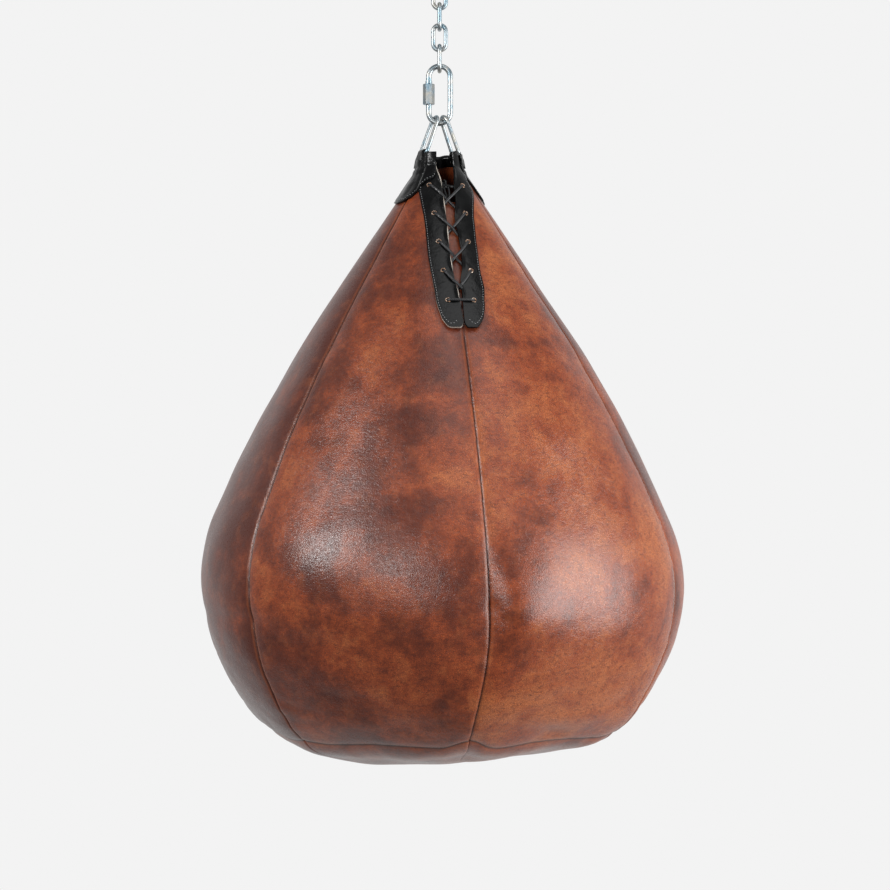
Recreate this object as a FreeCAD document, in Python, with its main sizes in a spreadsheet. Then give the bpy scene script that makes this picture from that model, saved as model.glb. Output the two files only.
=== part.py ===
import FreeCAD, Part
import math
import os
from FreeCAD import Placement, Rotation, Vector

# A hanging teardrop punch bag: a leather bag of six gores with a laced closure,
# two ring tabs at its neck, a quick link, a short chain and a riveted swivel.
# The origin is the centre of the swivel's hanging hole. +Z is up and -Y is the front.

doc = FreeCAD.newDocument("teardrop_punch_bag")

# ---------------------------------------------------------------- driving sizes
SIZES = [
    # swivel
    ("hanging_hole", 11.0),
    ("hanging_eye_width", 23.0),
    ("swivel_thickness", 10.0),
    ("frame_width", 26.0),
    ("frame_drop", 33.0),
    ("frame_shoulder", 7.0),
    ("frame_corner_radius", 4.0),
    ("window_width", 17.0),
    ("window_top", 11.0),
    ("foot_thickness", 8.0),
    ("shank_width", 8.0),
    ("shank_clearance", 0.08),
    ("rivet_head_width", 13.0),
    ("rivet_head_height", 4.5),
    ("rivet_head_rounding", 2.7),
    ("washer_thickness", 1.5),
    ("seat_clearance", 0.1),
    ("eye_wire", 6.0),
    ("eye_opening", 15.0),
    ("eye_drop", 2.0),
    # chain
    ("chain_wire", 4.6),
    ("link_inner_length", 22.6),
    ("link_inner_width", 9.0),
    ("hang_clearance", 0.1),
    # quick link
    ("quick_wire", 5.8),
    ("quick_inner_length", 55.8),
    ("quick_inner_width", 17.4),
    ("quick_gap", 5.5),
    ("collar_width", 7.2),
    ("collar_height", 3.0),
    ("collar_top_drop", 16.0),
    ("sleeve_length", 22.4),
    ("sleeve_corners", 12.6),
    ("sleeve_clearance", 0.05),
    ("sleeve_engagement", 2.8),
    ("sleeve_chamfer", 0.5),
    # rings and their tabs
    ("ring_wire", 4.0),
    ("ring_apex_inner_radius", 5.2),
    ("ring_base_width", 17.0),
    ("ring_length", 42.8),
    ("ring_corner_radius", 3.2),
    ("ring_yaw", 25.0),
    ("ring_lean", 20.8),
    ("ring_hub_offset", 5.6),
    ("ring_hang_clearance", 1.0),
    ("tab_leather", 2.0),
    ("tab_clearance", 0.25),
    ("tab_width", 18.0),
    ("tab_fold_width", 9.8),
    ("tab_tilt", 12.0),
    ("tab_outer_length", 24.0),
    ("tab_inner_length", 28.0),
    # bag outline, outside of the leather
    ("neck_radius", 22.5),
    ("neck_drop", 16.7),
    ("neck_half_angle", 34.0),
    ("flank_length", 190.0),
    ("shoulder_radius", 1220.0),
    ("shoulder_turn", 11.3),
    ("belly_radius", 195.0),
    ("belly_turn", 38.5),
    ("heel_radius", 225.0),
    ("heel_turn", 36.3),
    ("bottom_dome", 27.0),
    ("leather", 3.0),
    ("gore_angle", 60.0),
    ("front_seam_angle", 10.4),
    ("fill_clearance", 0.3),
    ("fill_top_drop", 46.0),
    ("fill_ledge_drop", 14.0),
    # laced closure
    ("flap_leather", 2.4),
    ("flap_half_width", 25.5),
    ("flap_length", 178.0),
    ("flap_top_drop", 1.0),
    ("flap_end_radius", 11.0),
    ("slit_half_width", 20.5),
    ("slit_length", 160.0),
    ("gap_half_width", 5.3),
    ("gap_straight_drop", 139.0),
    ("gap_closed_drop", 148.0),
    ("gap_closed_half_width", 0.4),
    ("tongue_leather", 2.0),
    ("tongue_half_width", 23.5),
    ("tongue_top_drop", 36.0),
    ("tongue_length", 132.0),
    ("patch_leather", 2.4),
    ("patch_drop", 22.0),
    ("patch_tip_drop", 17.0),
    ("patch_front_angle", 38.0),
    # eyelets and lace
    ("eyelet_rows", 5),
    ("first_row_drop", 22.0),
    ("row_pitch", 31.9),
    ("eyelet_offset_top", 17.5),
    ("eyelet_offset_bottom", 13.0),
    ("eyelet_hole", 3.6),
    ("eyelet_barrel", 4.6),
    ("eyelet_flange", 6.6),
    ("eyelet_flange_height", 0.6),
    ("lace_width", 2.6),
    ("lace_over", 4.4),
    ("lace_under", 1.5),
    ("lace_bend_cap", 60.0),
    ("crossing_drop", 17.0),
    ("crossing_shift", 0.1),
    ("crossing_lead", 6.0),
    ("crossing_inset", 1.1),
    ("crossing_clearance", 0.6),
    ("crossing_rise", 0.7),
    ("crossing_high", 2.9),
    ("crossing_low", -0.6),
    ("tail_turn_across", 9.6),
    ("tail_turn_rise", 3.5),
    ("tail_turn_depth", 3.2),
    ("tail_end_across", 2.0),
    ("tail_end_rise", 6.5),
    ("tail_end_depth", 7.5),
    ("knot_radius", 4.4),
    ("knot_rise", 7.0),
    ("knot_depth", 8.2),
]

sheet = doc.addObject("Spreadsheet::Sheet", "Sizes")
for row, (alias, number) in enumerate(SIZES, start=1):
    sheet.set("A%d" % row, alias)
    sheet.set("B%d" % row, str(number))
    sheet.setAlias("B%d" % row, alias)
doc.recompute()


def size(alias):
    """The number that the sheet holds under this alias."""
    return float(sheet.get(alias))


# ---------------------------------------------------------------- heights, as formulas
# Each is written once, bound to objects by setExpression and read as a number by level().
EYE_WIRE_Z = "-(Sizes.frame_drop + Sizes.eye_drop + Sizes.eye_opening + Sizes.eye_wire * 1.5)"
LINK_STEP = "(Sizes.link_inner_length - Sizes.hang_clearance)"
FIRST_LINK_TOP_Z = ("(%s + (Sizes.eye_wire + Sizes.chain_wire) / 2 + Sizes.hang_clearance)"
                    % EYE_WIRE_Z)
LINK_SPAN = "(Sizes.link_inner_length + Sizes.chain_wire)"
CHAIN_LINKS = 5


def link_centre(index):
    """Height of the centre of chain link number index, counted from the top."""
    return "(%s - %s / 2 - %d * %s)" % (FIRST_LINK_TOP_Z, LINK_SPAN, index - 1, LINK_STEP)


LAST_LINK_FOOT_Z = "(%s - %s / 2)" % (link_centre(CHAIN_LINKS), LINK_SPAN)
QUICK_TOP_Z = ("(%s + (Sizes.chain_wire + Sizes.quick_wire) / 2 + Sizes.hang_clearance)"
               % LAST_LINK_FOOT_Z)
QUICK_SPAN = "(Sizes.quick_inner_length + Sizes.quick_wire)"
QUICK_CENTRE_Z = "(%s - %s / 2)" % (QUICK_TOP_Z, QUICK_SPAN)
QUICK_FOOT_Z = "(%s - %s)" % (QUICK_TOP_Z, QUICK_SPAN)


def level(formula):
    """The value of one of the formulas above."""
    return float(sheet.evalExpression(formula))


def ring_hub(side):
    """Where a ring hangs: a point of the quick link's foot bend, at its wire's centre."""
    bend = (size("quick_inner_width") + size("quick_wire")) / 2
    across = size("ring_hub_offset")
    rise = bend - math.sqrt(bend ** 2 - across ** 2)
    return Vector(side * across, 0, level(QUICK_FOOT_Z) + rise)


def hub_to_bar():
    """Distance from a ring's hub down its plane to the centre of its base bar."""
    hang = (size("quick_wire") + size("ring_wire")) / 2 + size("ring_hang_clearance")
    return size("ring_length") - hang


def neck_z():
    """Height of the bag's rim."""
    lean = math.radians(size("ring_lean"))
    return ring_hub(1).z - hub_to_bar() * math.cos(lean) - size("neck_drop")


# ---------------------------------------------------------------- shared helpers
def bound(kind, name, formulas, placement=None):
    """A parametric object with each listed property bound to the sheet."""
    item = doc.addObject(kind, name)
    if placement is not None:
        item.Placement = placement
    for path, formula in formulas.items():
        item.setExpression(path, formula)
    return item


def fuse(name, pieces):
    item = doc.addObject("Part::MultiFuse", name)
    item.Shapes = pieces
    item.Refine = True
    return item


def cut(name, base, tool):
    item = doc.addObject("Part::Cut", name)
    item.Base = base
    item.Tool = tool
    return item


def shaped(name, shape, placement=None):
    """A document object that holds a shape made by Part's own functions."""
    item = doc.addObject("Part::Feature", name)
    item.Shape = shape
    if placement is not None:
        item.Placement = placement
    return item


ALONG_Y = Rotation(Vector(1, 0, 0), -90)
QUARTER_TURN = Rotation(Vector(0, 0, 1), 90)


def half_torus(name, ring_radius, wire_radius, height, upper):
    """Half of a bent round wire in the XZ plane, above or below its centre."""
    stand = Rotation(Vector(1, 0, 0), 90)
    turn = stand if upper else Rotation(Vector(0, 1, 0), 180).multiply(stand)
    return bound("Part::Torus", name, {
        "Radius1": ring_radius, "Radius2": wire_radius, "Angle3": "180",
        "Placement.Base.z": height}, Placement(Vector(), turn))


def upright(name, wire_radius, offset, foot, length):
    """A straight upright length of round wire at this offset along X."""
    return bound("Part::Cylinder", name, {
        "Radius": wire_radius, "Height": length,
        "Placement.Base.x": offset, "Placement.Base.z": foot})


# ---------------------------------------------------------------- swivel
def swivel_frame():
    """Forged frame: hanging eye on top, window for the rivet head, drilled foot."""
    eye = bound("Part::Cylinder", "hanging_eye", {
        "Radius": "Sizes.hanging_eye_width / 2", "Height": "Sizes.swivel_thickness",
        "Placement.Base.y": "-Sizes.swivel_thickness / 2"}, Placement(Vector(), ALONG_Y))
    block = bound("Part::Box", "frame_block", {
        "Length": "Sizes.frame_width", "Width": "Sizes.swivel_thickness",
        "Height": "Sizes.frame_drop - Sizes.frame_shoulder",
        "Placement.Base.x": "-Sizes.frame_width / 2",
        "Placement.Base.y": "-Sizes.swivel_thickness / 2",
        "Placement.Base.z": "-Sizes.frame_drop"})
    doc.recompute()
    corners = doc.addObject("Part::Fillet", "frame_rounded")
    corners.Base = block
    radius = size("frame_corner_radius")
    corners.Edges = [(index, radius, radius)
                     for index, edge in enumerate(block.Shape.Edges, start=1)
                     if abs(edge.tangentAt(edge.FirstParameter).y) > 0.99]
    hole = bound("Part::Cylinder", "hanging_hole_cut", {
        "Radius": "Sizes.hanging_hole / 2", "Height": "Sizes.swivel_thickness * 2",
        "Placement.Base.y": "-Sizes.swivel_thickness"}, Placement(Vector(), ALONG_Y))
    window = bound("Part::Box", "window_cut", {
        "Length": "Sizes.window_width", "Width": "Sizes.swivel_thickness * 2",
        "Height": "Sizes.frame_drop - Sizes.foot_thickness - Sizes.window_top",
        "Placement.Base.x": "-Sizes.window_width / 2",
        "Placement.Base.y": "-Sizes.swivel_thickness",
        "Placement.Base.z": "-(Sizes.frame_drop - Sizes.foot_thickness)"})
    shank_hole = bound("Part::Cylinder", "shank_hole_cut", {
        "Radius": "Sizes.shank_width / 2 + Sizes.shank_clearance",
        "Height": "Sizes.foot_thickness * 2",
        "Placement.Base.z": "-(Sizes.frame_drop + Sizes.foot_thickness / 2)"})
    solid = fuse("frame_solid", [eye, corners])
    return cut("swivel_frame", solid, fuse("frame_cuts", [hole, window, shank_hole]))


def swivel_washer():
    foot = "-(Sizes.frame_drop - Sizes.foot_thickness) + Sizes.seat_clearance"
    disc = bound("Part::Cylinder", "washer_disc", {
        "Radius": "Sizes.rivet_head_width / 2", "Height": "Sizes.washer_thickness",
        "Placement.Base.z": foot})
    hole = bound("Part::Cylinder", "washer_hole", {
        "Radius": "Sizes.shank_width / 2 + Sizes.shank_clearance",
        "Height": "Sizes.washer_thickness", "Placement.Base.z": foot})
    return cut("swivel_washer", disc, hole)


def swivel_eye():
    """Riveted shank that turns in the foot, with the eye that carries the chain."""
    head_foot = ("-(Sizes.frame_drop - Sizes.foot_thickness) + Sizes.washer_thickness"
                 " + Sizes.seat_clearance * 2")
    head = bound("Part::Cylinder", "rivet_head", {
        "Radius": "Sizes.rivet_head_width / 2", "Height": "Sizes.rivet_head_height",
        "Placement.Base.z": head_foot})
    doc.recompute()
    domed = doc.addObject("Part::Fillet", "rivet_head_domed")
    domed.Base = head
    rim = [index for index, edge in enumerate(head.Shape.Edges, start=1)
           if edge.Closed and edge.CenterOfMass.z > head.Shape.CenterOfMass.z]
    rounding = size("rivet_head_rounding")
    domed.Edges = [(index, rounding, rounding) for index in rim]
    shank_foot = "-(Sizes.frame_drop + Sizes.eye_drop + Sizes.eye_wire / 2)"
    shank = bound("Part::Cylinder", "rivet_shank", {
        "Radius": "Sizes.shank_width / 2",
        "Height": "(%s) - (%s)" % (head_foot, shank_foot),
        "Placement.Base.z": shank_foot})
    ring = bound("Part::Torus", "eye_ring", {
        "Radius1": "(Sizes.eye_opening + Sizes.eye_wire) / 2", "Radius2": "Sizes.eye_wire / 2",
        "Placement.Base.z": "%s + (Sizes.eye_opening + Sizes.eye_wire) / 2" % EYE_WIRE_Z},
        Placement(Vector(), ALONG_Y))
    return fuse("swivel_eye", [domed, shank, ring])


# ---------------------------------------------------------------- chain and quick link
def oval_parts(name, wire, inner_width, inner_length):
    """The two bent ends and the leg sizes of a straight-sided link centred on zero."""
    bend = "(%s + %s) / 2" % (inner_width, wire)
    half_leg = "((%s - %s) / 2)" % (inner_length, inner_width)
    top = half_torus(name + "_top_bend", bend, wire + " / 2", half_leg, True)
    foot = half_torus(name + "_foot_bend", bend, wire + " / 2", "-" + half_leg, False)
    return top, foot, bend, half_leg


def chain_link(index):
    """One welded link. Odd links stand edge on to the front, even links face it."""
    name = "chain_link_%d" % index
    wire = "Sizes.chain_wire"
    top, foot, bend, half_leg = oval_parts(
        name, wire, "Sizes.link_inner_width", "Sizes.link_inner_length")
    legs = [upright("%s_leg_%s" % (name, side), wire + " / 2", sign + bend,
                    "-" + half_leg, "2 * " + half_leg)
            for side, sign in (("left", "-"), ("right", ""))]
    link = fuse(name, [top, foot] + legs)
    if index % 2 == 1:
        link.Placement = Placement(Vector(), QUARTER_TURN)
    link.setExpression("Placement.Base.z", link_centre(index))
    return link


SLEEVE_TOP_Z = "(%s - Sizes.collar_top_drop - Sizes.collar_height)" % QUICK_TOP_Z


def quick_link():
    """Oval link whose left leg is open behind the sleeve, with a collar above it."""
    wire = "Sizes.quick_wire"
    top, foot, bend, half_leg = oval_parts(
        "quick_link", wire, "Sizes.quick_inner_width", "Sizes.quick_inner_length")
    right = upright("quick_leg_right", wire + " / 2", bend, "-" + half_leg, "2 * " + half_leg)
    gap_top = "(%s - Sizes.sleeve_engagement - %s)" % (SLEEVE_TOP_Z, QUICK_CENTRE_Z)
    gap_foot = "(%s - Sizes.quick_gap)" % gap_top
    upper = upright("quick_leg_upper", wire + " / 2", "-" + bend, gap_top,
                    "%s - %s" % (half_leg, gap_top))
    lower = upright("quick_leg_lower", wire + " / 2", "-" + bend, "-" + half_leg,
                    "%s + %s" % (gap_foot, half_leg))
    collar = upright("quick_collar", "Sizes.collar_width / 2", "-" + bend,
                     "%s - %s" % (SLEEVE_TOP_Z, QUICK_CENTRE_Z), "Sizes.collar_height")
    link = fuse("quick_link", [top, foot, right, upper, lower, collar])
    link.setExpression("Placement.Base.z", QUICK_CENTRE_Z)
    return link


def quick_link_sleeve():
    """Hexagonal nut sleeve over the gap, a running fit on the leg's wire."""
    foot = "%s - Sizes.seat_clearance - Sizes.sleeve_length" % SLEEVE_TOP_Z
    offset = "-(Sizes.quick_inner_width + Sizes.quick_wire) / 2"
    place = {"Placement.Base.x": offset, "Placement.Base.z": foot}
    hexagon = bound("Part::Prism", "sleeve_hexagon", dict(place, **{
        "Circumradius": "Sizes.sleeve_corners / 2", "Height": "Sizes.sleeve_length"}))
    hexagon.Polygon = 6
    doc.recompute()
    eased = doc.addObject("Part::Chamfer", "sleeve_eased")
    eased.Base = hexagon
    chamfer = size("sleeve_chamfer")
    eased.Edges = [(index, chamfer, chamfer)
                   for index, edge in enumerate(hexagon.Shape.Edges, start=1)
                   if abs(edge.tangentAt(edge.FirstParameter).z) < 0.01]
    bore = bound("Part::Cylinder", "sleeve_bore", dict(place, **{
        "Radius": "Sizes.quick_wire / 2 + Sizes.sleeve_clearance",
        "Height": "Sizes.sleeve_length"}))
    return cut("quick_link_sleeve", eased, bore)


# ---------------------------------------------------------------- bent wire and lace tube
def rounded_path(points, radii):
    """A wire of straight runs joined by tangent arcs of these radii at its inner points."""
    edges = []
    last = points[0]
    for before, corner, after, radius in zip(points, points[1:], points[2:], radii):
        back = (before - corner).normalize()
        ahead = (after - corner).normalize()
        half_turn = (math.pi - back.getAngle(ahead)) / 2
        reach = radius * math.tan(half_turn)
        start = corner + back * reach
        end = corner + ahead * reach
        middle_dir = (back + ahead).normalize()
        centre = corner + middle_dir * (radius / math.cos(half_turn))
        middle = centre - middle_dir * radius
        if (start - last).Length > 1e-6:
            edges.append(Part.LineSegment(last, start).toShape())
        edges.append(Part.Arc(start, middle, end).toShape())
        last = end
    if (points[-1] - last).Length > 1e-6:
        edges.append(Part.LineSegment(last, points[-1]).toShape())
    return Part.Wire(edges)


def tube(path, width):
    """A round tube along a path of lines and arcs, checked against section times length."""
    first = path.Edges[0]
    start = first.valueAt(first.FirstParameter)
    heading = first.tangentAt(first.FirstParameter)
    circle = Part.Wire(Part.Circle(start, heading, width / 2).toShape())
    solid = path.makePipeShell([circle], True, False)
    wanted = math.pi * width ** 2 / 4 * path.Length
    if abs(solid.Volume - wanted) > 0.01 * wanted:
        raise ValueError("tube volume %.1f, wanted %.1f" % (solid.Volume, wanted))
    return solid


# ---------------------------------------------------------------- rings
def ring_outline():
    """Closed centre line of a ring in its own plane: base bar at the origin, apex up."""
    half_base = size("ring_base_width") / 2
    apex_radius = size("ring_apex_inner_radius") + size("ring_wire") / 2
    apex_centre = size("ring_length") - apex_radius
    # a leg runs from the base corner, tangent to the apex arc
    run = math.hypot(half_base, apex_centre)
    lean = math.atan2(half_base, apex_centre) - math.asin(apex_radius / run)
    touch = Vector(apex_radius * math.cos(lean), 0, apex_centre + apex_radius * math.sin(lean))
    return touch, Vector(half_base, 0, 0)


def ring(name, side):
    """A bent and welded ring that leans in from its tab to the quick link's foot."""
    touch, corner = ring_outline()
    mirror = Vector(-touch.x, 0, touch.z)
    corner_radius = size("ring_corner_radius")
    right = rounded_path([Vector(0, 0, 0), corner, touch], [corner_radius])
    left = rounded_path([mirror, -corner, Vector(0, 0, 0)], [corner_radius])
    apex = Part.Arc(touch, Vector(0, 0, size("ring_length")), mirror).toShape()
    path = Part.Wire(right.Edges + [apex] + left.Edges)
    return shaped(name, tube(path, size("ring_wire")), ring_seat(side))


def ring_seat(side):
    """Placement of a ring: at its base bar, X along the bar, Z up its plane to the hub."""
    turn = side_yaw(side).multiply(Rotation(Vector(1, 0, 0), size("ring_lean")))
    bar = ring_hub(side) - turn.multVec(Vector(0, 0, hub_to_bar()))
    return Placement(bar, turn)


def side_yaw(side):
    """Turn about Z that points Y away from the neck on the ring's side."""
    return Rotation(Vector(0, 0, 1), size("ring_yaw") + (90 if side < 0 else -90))


def tab_seat(side):
    """Placement of a tab's fold: on the ring's bar, with the tab's own smaller tilt."""
    tilt = Rotation(Vector(1, 0, 0), size("tab_tilt"))
    return Placement(ring_seat(side).Base, side_yaw(side).multiply(tilt))


# ---------------------------------------------------------------- leather outline
def outline_points(offset):
    """Corners and arc middles of the bag's outline, moved outwards by this offset."""
    angle = math.radians(size("neck_half_angle"))
    here = Vector(size("neck_radius"), 0, neck_z())
    out = Vector(math.cos(angle), 0, math.sin(angle))
    along = Vector(math.sin(angle), 0, -math.cos(angle))
    foot = here + along * size("flank_length")
    spans = [("line", here + out * offset, None, foot + out * offset)]
    here = foot
    for part in ("shoulder", "belly", "heel"):
        radius = size(part + "_radius")
        turn = math.radians(size(part + "_turn"))
        centre = here - Vector(math.cos(angle), 0, math.sin(angle)) * radius

        def on_arc(share, reach=radius + offset, hub=centre, start=angle, sweep=turn):
            at = start - sweep * share
            return hub + Vector(math.cos(at), 0, math.sin(at)) * reach

        spans.append(("arc", on_arc(0), on_arc(0.5), on_arc(1)))
        angle -= turn
        here = centre + Vector(math.cos(angle), 0, math.sin(angle)) * radius
    return spans


def span_edges(spans):
    edges = []
    for kind, start, middle, end in spans:
        if kind == "line":
            edges.append(Part.LineSegment(start, end).toShape())
        else:
            edges.append(Part.Arc(start, middle, end).toShape())
    return edges


def layer_face(inner, outer, spans=4):
    """Section of a leather layer between two offsets, over the first spans of the outline."""
    outside = outline_points(outer)[:spans]
    inside = outline_points(inner)[:spans]
    edges = span_edges(outside) + span_edges(inside)
    edges.append(Part.LineSegment(outside[0][1], inside[0][1]).toShape())
    edges.append(Part.LineSegment(outside[-1][3], inside[-1][3]).toShape())
    return Part.Face(Part.Wire(Part.__sortEdges__(edges)))


def layer_solid(inner, outer, start_angle, sweep, spans=2):
    """A leather layer on the upper bag, between two angles round the bag."""
    face = layer_face(inner, outer, spans)
    face.rotate(Vector(), Vector(0, 0, 1), start_angle - 90)
    return face.revolve(Vector(), Vector(0, 0, 1), sweep)


def revolved(name, face, sweep, start_angle):
    """A section turned about the bag's axis, bound to its sweep."""
    section = shaped(name + "_section", face)
    item = doc.addObject("Part::Revolution", name)
    item.Source = section
    item.Axis = Vector(0, 0, 1)
    item.Base = Vector(0, 0, 0)
    item.setExpression("Angle", sweep)
    item.Placement = Placement(Vector(), Rotation(Vector(0, 0, 1), start_angle - 90))
    return item


def heel_end(offset):
    return outline_points(offset)[-1][3]


def dome_arc(edge_point):
    """Arc of the domed bottom through this point, as its point on the axis and its middle."""
    rim = heel_end(0)
    dome = size("bottom_dome")
    hub = Vector(0, 0, rim.z - dome + (rim.x ** 2 + dome ** 2) / (2 * dome))
    reach = (edge_point - hub).Length
    half = math.atan2(edge_point.x, hub.z - edge_point.z) / 2
    middle = hub + Vector(math.sin(half), 0, -math.cos(half)) * reach
    return hub - Vector(0, 0, reach), middle


def bottom_face():
    """Section of the domed bottom panel, which meets the gores' cut ends."""
    rim = heel_end(0)
    inner_rim = heel_end(-size("leather"))
    outer_low, outer_middle = dome_arc(rim)
    inner_low, inner_middle = dome_arc(inner_rim)
    edges = [
        Part.Arc(outer_low, outer_middle, rim).toShape(),
        Part.LineSegment(rim, inner_rim).toShape(),
        Part.Arc(inner_rim, inner_middle, inner_low).toShape(),
        Part.LineSegment(inner_low, outer_low).toShape(),
    ]
    return Part.Face(Part.Wire(edges))


def filling_face():
    """Section of the textile filling, a small clearance inside the leather.

    Its flank lies deeper, inside the closure's tongue, and meets the shoulder in a ledge.
    """
    clearance = size("fill_clearance")
    skin = size("leather") + clearance
    _, start, _, end = outline_points(-(skin + size("tongue_leather")))[0]
    top_z = neck_z() - size("fill_top_drop")
    top_edge = start + (end - start) * ((start.z - top_z) / (start.z - end.z))
    ledge_drop = size("fill_ledge_drop")
    ledge = end + (end - start).normalize() * ledge_drop
    spans = outline_points(-skin)[1:]
    arc = Part.Arc(*spans[0][1:])
    first, last = arc.parameterAtDistance(ledge_drop, arc.FirstParameter), arc.LastParameter
    shoulder = arc.value(first)
    spans[0] = ("arc", shoulder, arc.value((first + last) / 2), arc.value(last))
    heel = spans[-1][3]
    low, middle = dome_arc(heel)
    corners = [low, Vector(0, 0, top_z), top_edge, ledge, shoulder]
    edges = [Part.LineSegment(one, other).toShape() for one, other in zip(corners, corners[1:])]
    edges += span_edges(spans)
    edges.append(Part.Arc(heel, middle, low).toShape())
    return Part.Face(Part.Wire(edges))


# ---------------------------------------------------------------- closure, in its own frame
SEAM_ANGLE = math.radians(size("front_seam_angle"))
SIDEWAYS = Vector(math.cos(SEAM_ANGLE), math.sin(SEAM_ANGLE), 0)
OUTWARDS = Vector(math.sin(SEAM_ANGLE), -math.cos(SEAM_ANGLE), 0)


def closure_point(across, drop, offset):
    """A point beside the front seam: across it, below the neck and off the leather."""
    slope = math.radians(size("neck_half_angle"))
    radius = size("neck_radius") + drop * math.tan(slope)
    turn = SEAM_ANGLE + math.asin(across / radius)
    reach = radius + offset * math.cos(slope)
    return Vector(reach * math.sin(turn), -reach * math.cos(turn),
                  neck_z() - drop + offset * math.sin(slope))


def closure_normal(across, drop):
    return (closure_point(across, drop, 1) - closure_point(across, drop, 0)).normalize()


def front_prism(outline):
    """A prism that stands out to the front from an outline of (across, drop) corners.

    A corner may have a third number, the radius that rounds it.
    """
    corners = [SIDEWAYS * point[0] + Vector(0, 0, neck_z() - point[1]) for point in outline]
    radii = [point[2] if len(point) > 2 else 0 for point in outline]
    edges = []
    count = len(corners)
    ends = []
    for index, corner in enumerate(corners):
        back = (corners[index - 1] - corner).normalize()
        ahead = (corners[(index + 1) % count] - corner).normalize()
        radius = radii[index]
        if radius == 0:
            ends.append((corner, corner))
            continue
        half_turn = (math.pi - back.getAngle(ahead)) / 2
        reach = radius * math.tan(half_turn)
        start = corner + back * reach
        end = corner + ahead * reach
        middle_dir = (back + ahead).normalize()
        middle = corner + middle_dir * (radius / math.cos(half_turn) - radius)
        edges.append(Part.Arc(start, middle, end).toShape())
        ends.append((start, end))
    for index, (_, leave) in enumerate(ends):
        arrive = ends[(index + 1) % count][0]
        if (arrive - leave).Length > 1e-6:
            edges.append(Part.LineSegment(leave, arrive).toShape())
    face = Part.Face(Part.Wire(Part.__sortEdges__(edges)))
    return face.extrude(OUTWARDS * (size("flank_length") + size("neck_radius")))


def slit_prism():
    half = size("slit_half_width")
    foot = size("slit_length")
    top = -size("neck_drop")
    return front_prism([(-half, top), (half, top), (half, foot, half / 2),
                        (-half, foot, half / 2)])


def flap_outline(side):
    """Outline of one lacing flap, from the neck to its rounded foot."""
    inner = size("gap_half_width")
    closed = size("gap_closed_half_width")
    outer = size("flap_half_width")
    foot = size("flap_length")
    round_foot = size("flap_end_radius")
    top = size("flap_top_drop")
    points = [(inner, top), (inner, size("gap_straight_drop")),
              (closed, size("gap_closed_drop")), (closed, foot, round_foot),
              (outer, foot, round_foot), (outer, top)]
    return [(side * point[0],) + point[1:] for point in points]


def eyelet_places(side):
    """Across and drop of each eyelet on one side, from the top row down."""
    rows = int(size("eyelet_rows"))
    top = size("eyelet_offset_top")
    bottom = size("eyelet_offset_bottom")
    return [(side * (top + (bottom - top) * row / (rows - 1)),
             size("first_row_drop") + row * size("row_pitch")) for row in range(rows)]


def peg(across, drop, width, low, high):
    """A round peg through the closure's leather, between two offsets off the bag."""
    return Part.makeCylinder(width / 2, high - low, closure_point(across, drop, low),
                             closure_normal(across, drop))


def patch_shape(side):
    """Reinforcing patch under a tab: deepest below its tip, cut square at the flap."""
    front = size("front_seam_angle") + side * size("patch_front_angle")
    back = size("front_seam_angle") + 180
    start, sweep = (front, back - front) if side > 0 else (back - 360, front - back + 360)
    band = layer_solid(0, size("patch_leather"), start, sweep)
    tip = math.radians(size("ring_yaw") + (90 if side > 0 else -90))
    reach = size("neck_radius") + size("patch_drop")
    down = size("patch_tip_drop") / (2 * reach)
    depth = size("patch_drop")
    wide = size("flank_length")
    cover = Part.makeBox(2 * wide, 2 * wide, 2 * wide, Vector(-wide, -wide, 0))
    tilt = Vector(math.sin(tip), -math.cos(tip), 0) * down + Vector(0, 0, 1)
    cover.Placement = Placement(Vector(0, 0, neck_z() - depth),
                                Rotation(Vector(0, 0, 1), tilt))
    return band.common(cover)


def lacing_flap(name, side, patch):
    """Black leather facing with its eyelet holes, on one side of the slit."""
    band = layer_solid(0, size("flap_leather"), size("front_seam_angle") - 80, 160)
    flap = band.common(front_prism(flap_outline(side))).cut(patch)
    for across, drop in eyelet_places(side):
        flap = flap.cut(peg(across, drop, size("eyelet_barrel"), -1, size("flap_leather") + 1))
    return shaped(name, largest_solid(flap))


def largest_solid(shape):
    return max(shape.Solids, key=lambda solid: solid.Volume)


def closure_tongue():
    """Bag leather strip behind the slit, sewn inside the gores."""
    inner = -(size("leather") + size("tongue_leather"))
    band = layer_solid(inner, -size("leather"), size("front_seam_angle") - 60, 120)
    half = size("tongue_half_width")
    top = size("tongue_top_drop")
    foot = top + size("tongue_length")
    outline = front_prism([(-half, top), (half, top), (half, foot, half / 2),
                           (-half, foot, half / 2)])
    return band.common(outline)


def eyelet_group(name, side):
    """Five rolled eyelets: a barrel through the flap with a flange on its face."""
    solids = []
    face = size("flap_leather")
    for across, drop in eyelet_places(side):
        barrel = peg(across, drop, size("eyelet_barrel"), 0, face)
        flange = peg(across, drop, size("eyelet_flange"), face, face + size("eyelet_flange_height"))
        hole = peg(across, drop, size("eyelet_hole"), -1, face + size("eyelet_flange_height") + 1)
        solids.append(barrel.fuse(flange).cut(hole).removeSplitter().Solids[0])
    return shaped(name, Part.makeCompound(solids))


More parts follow.
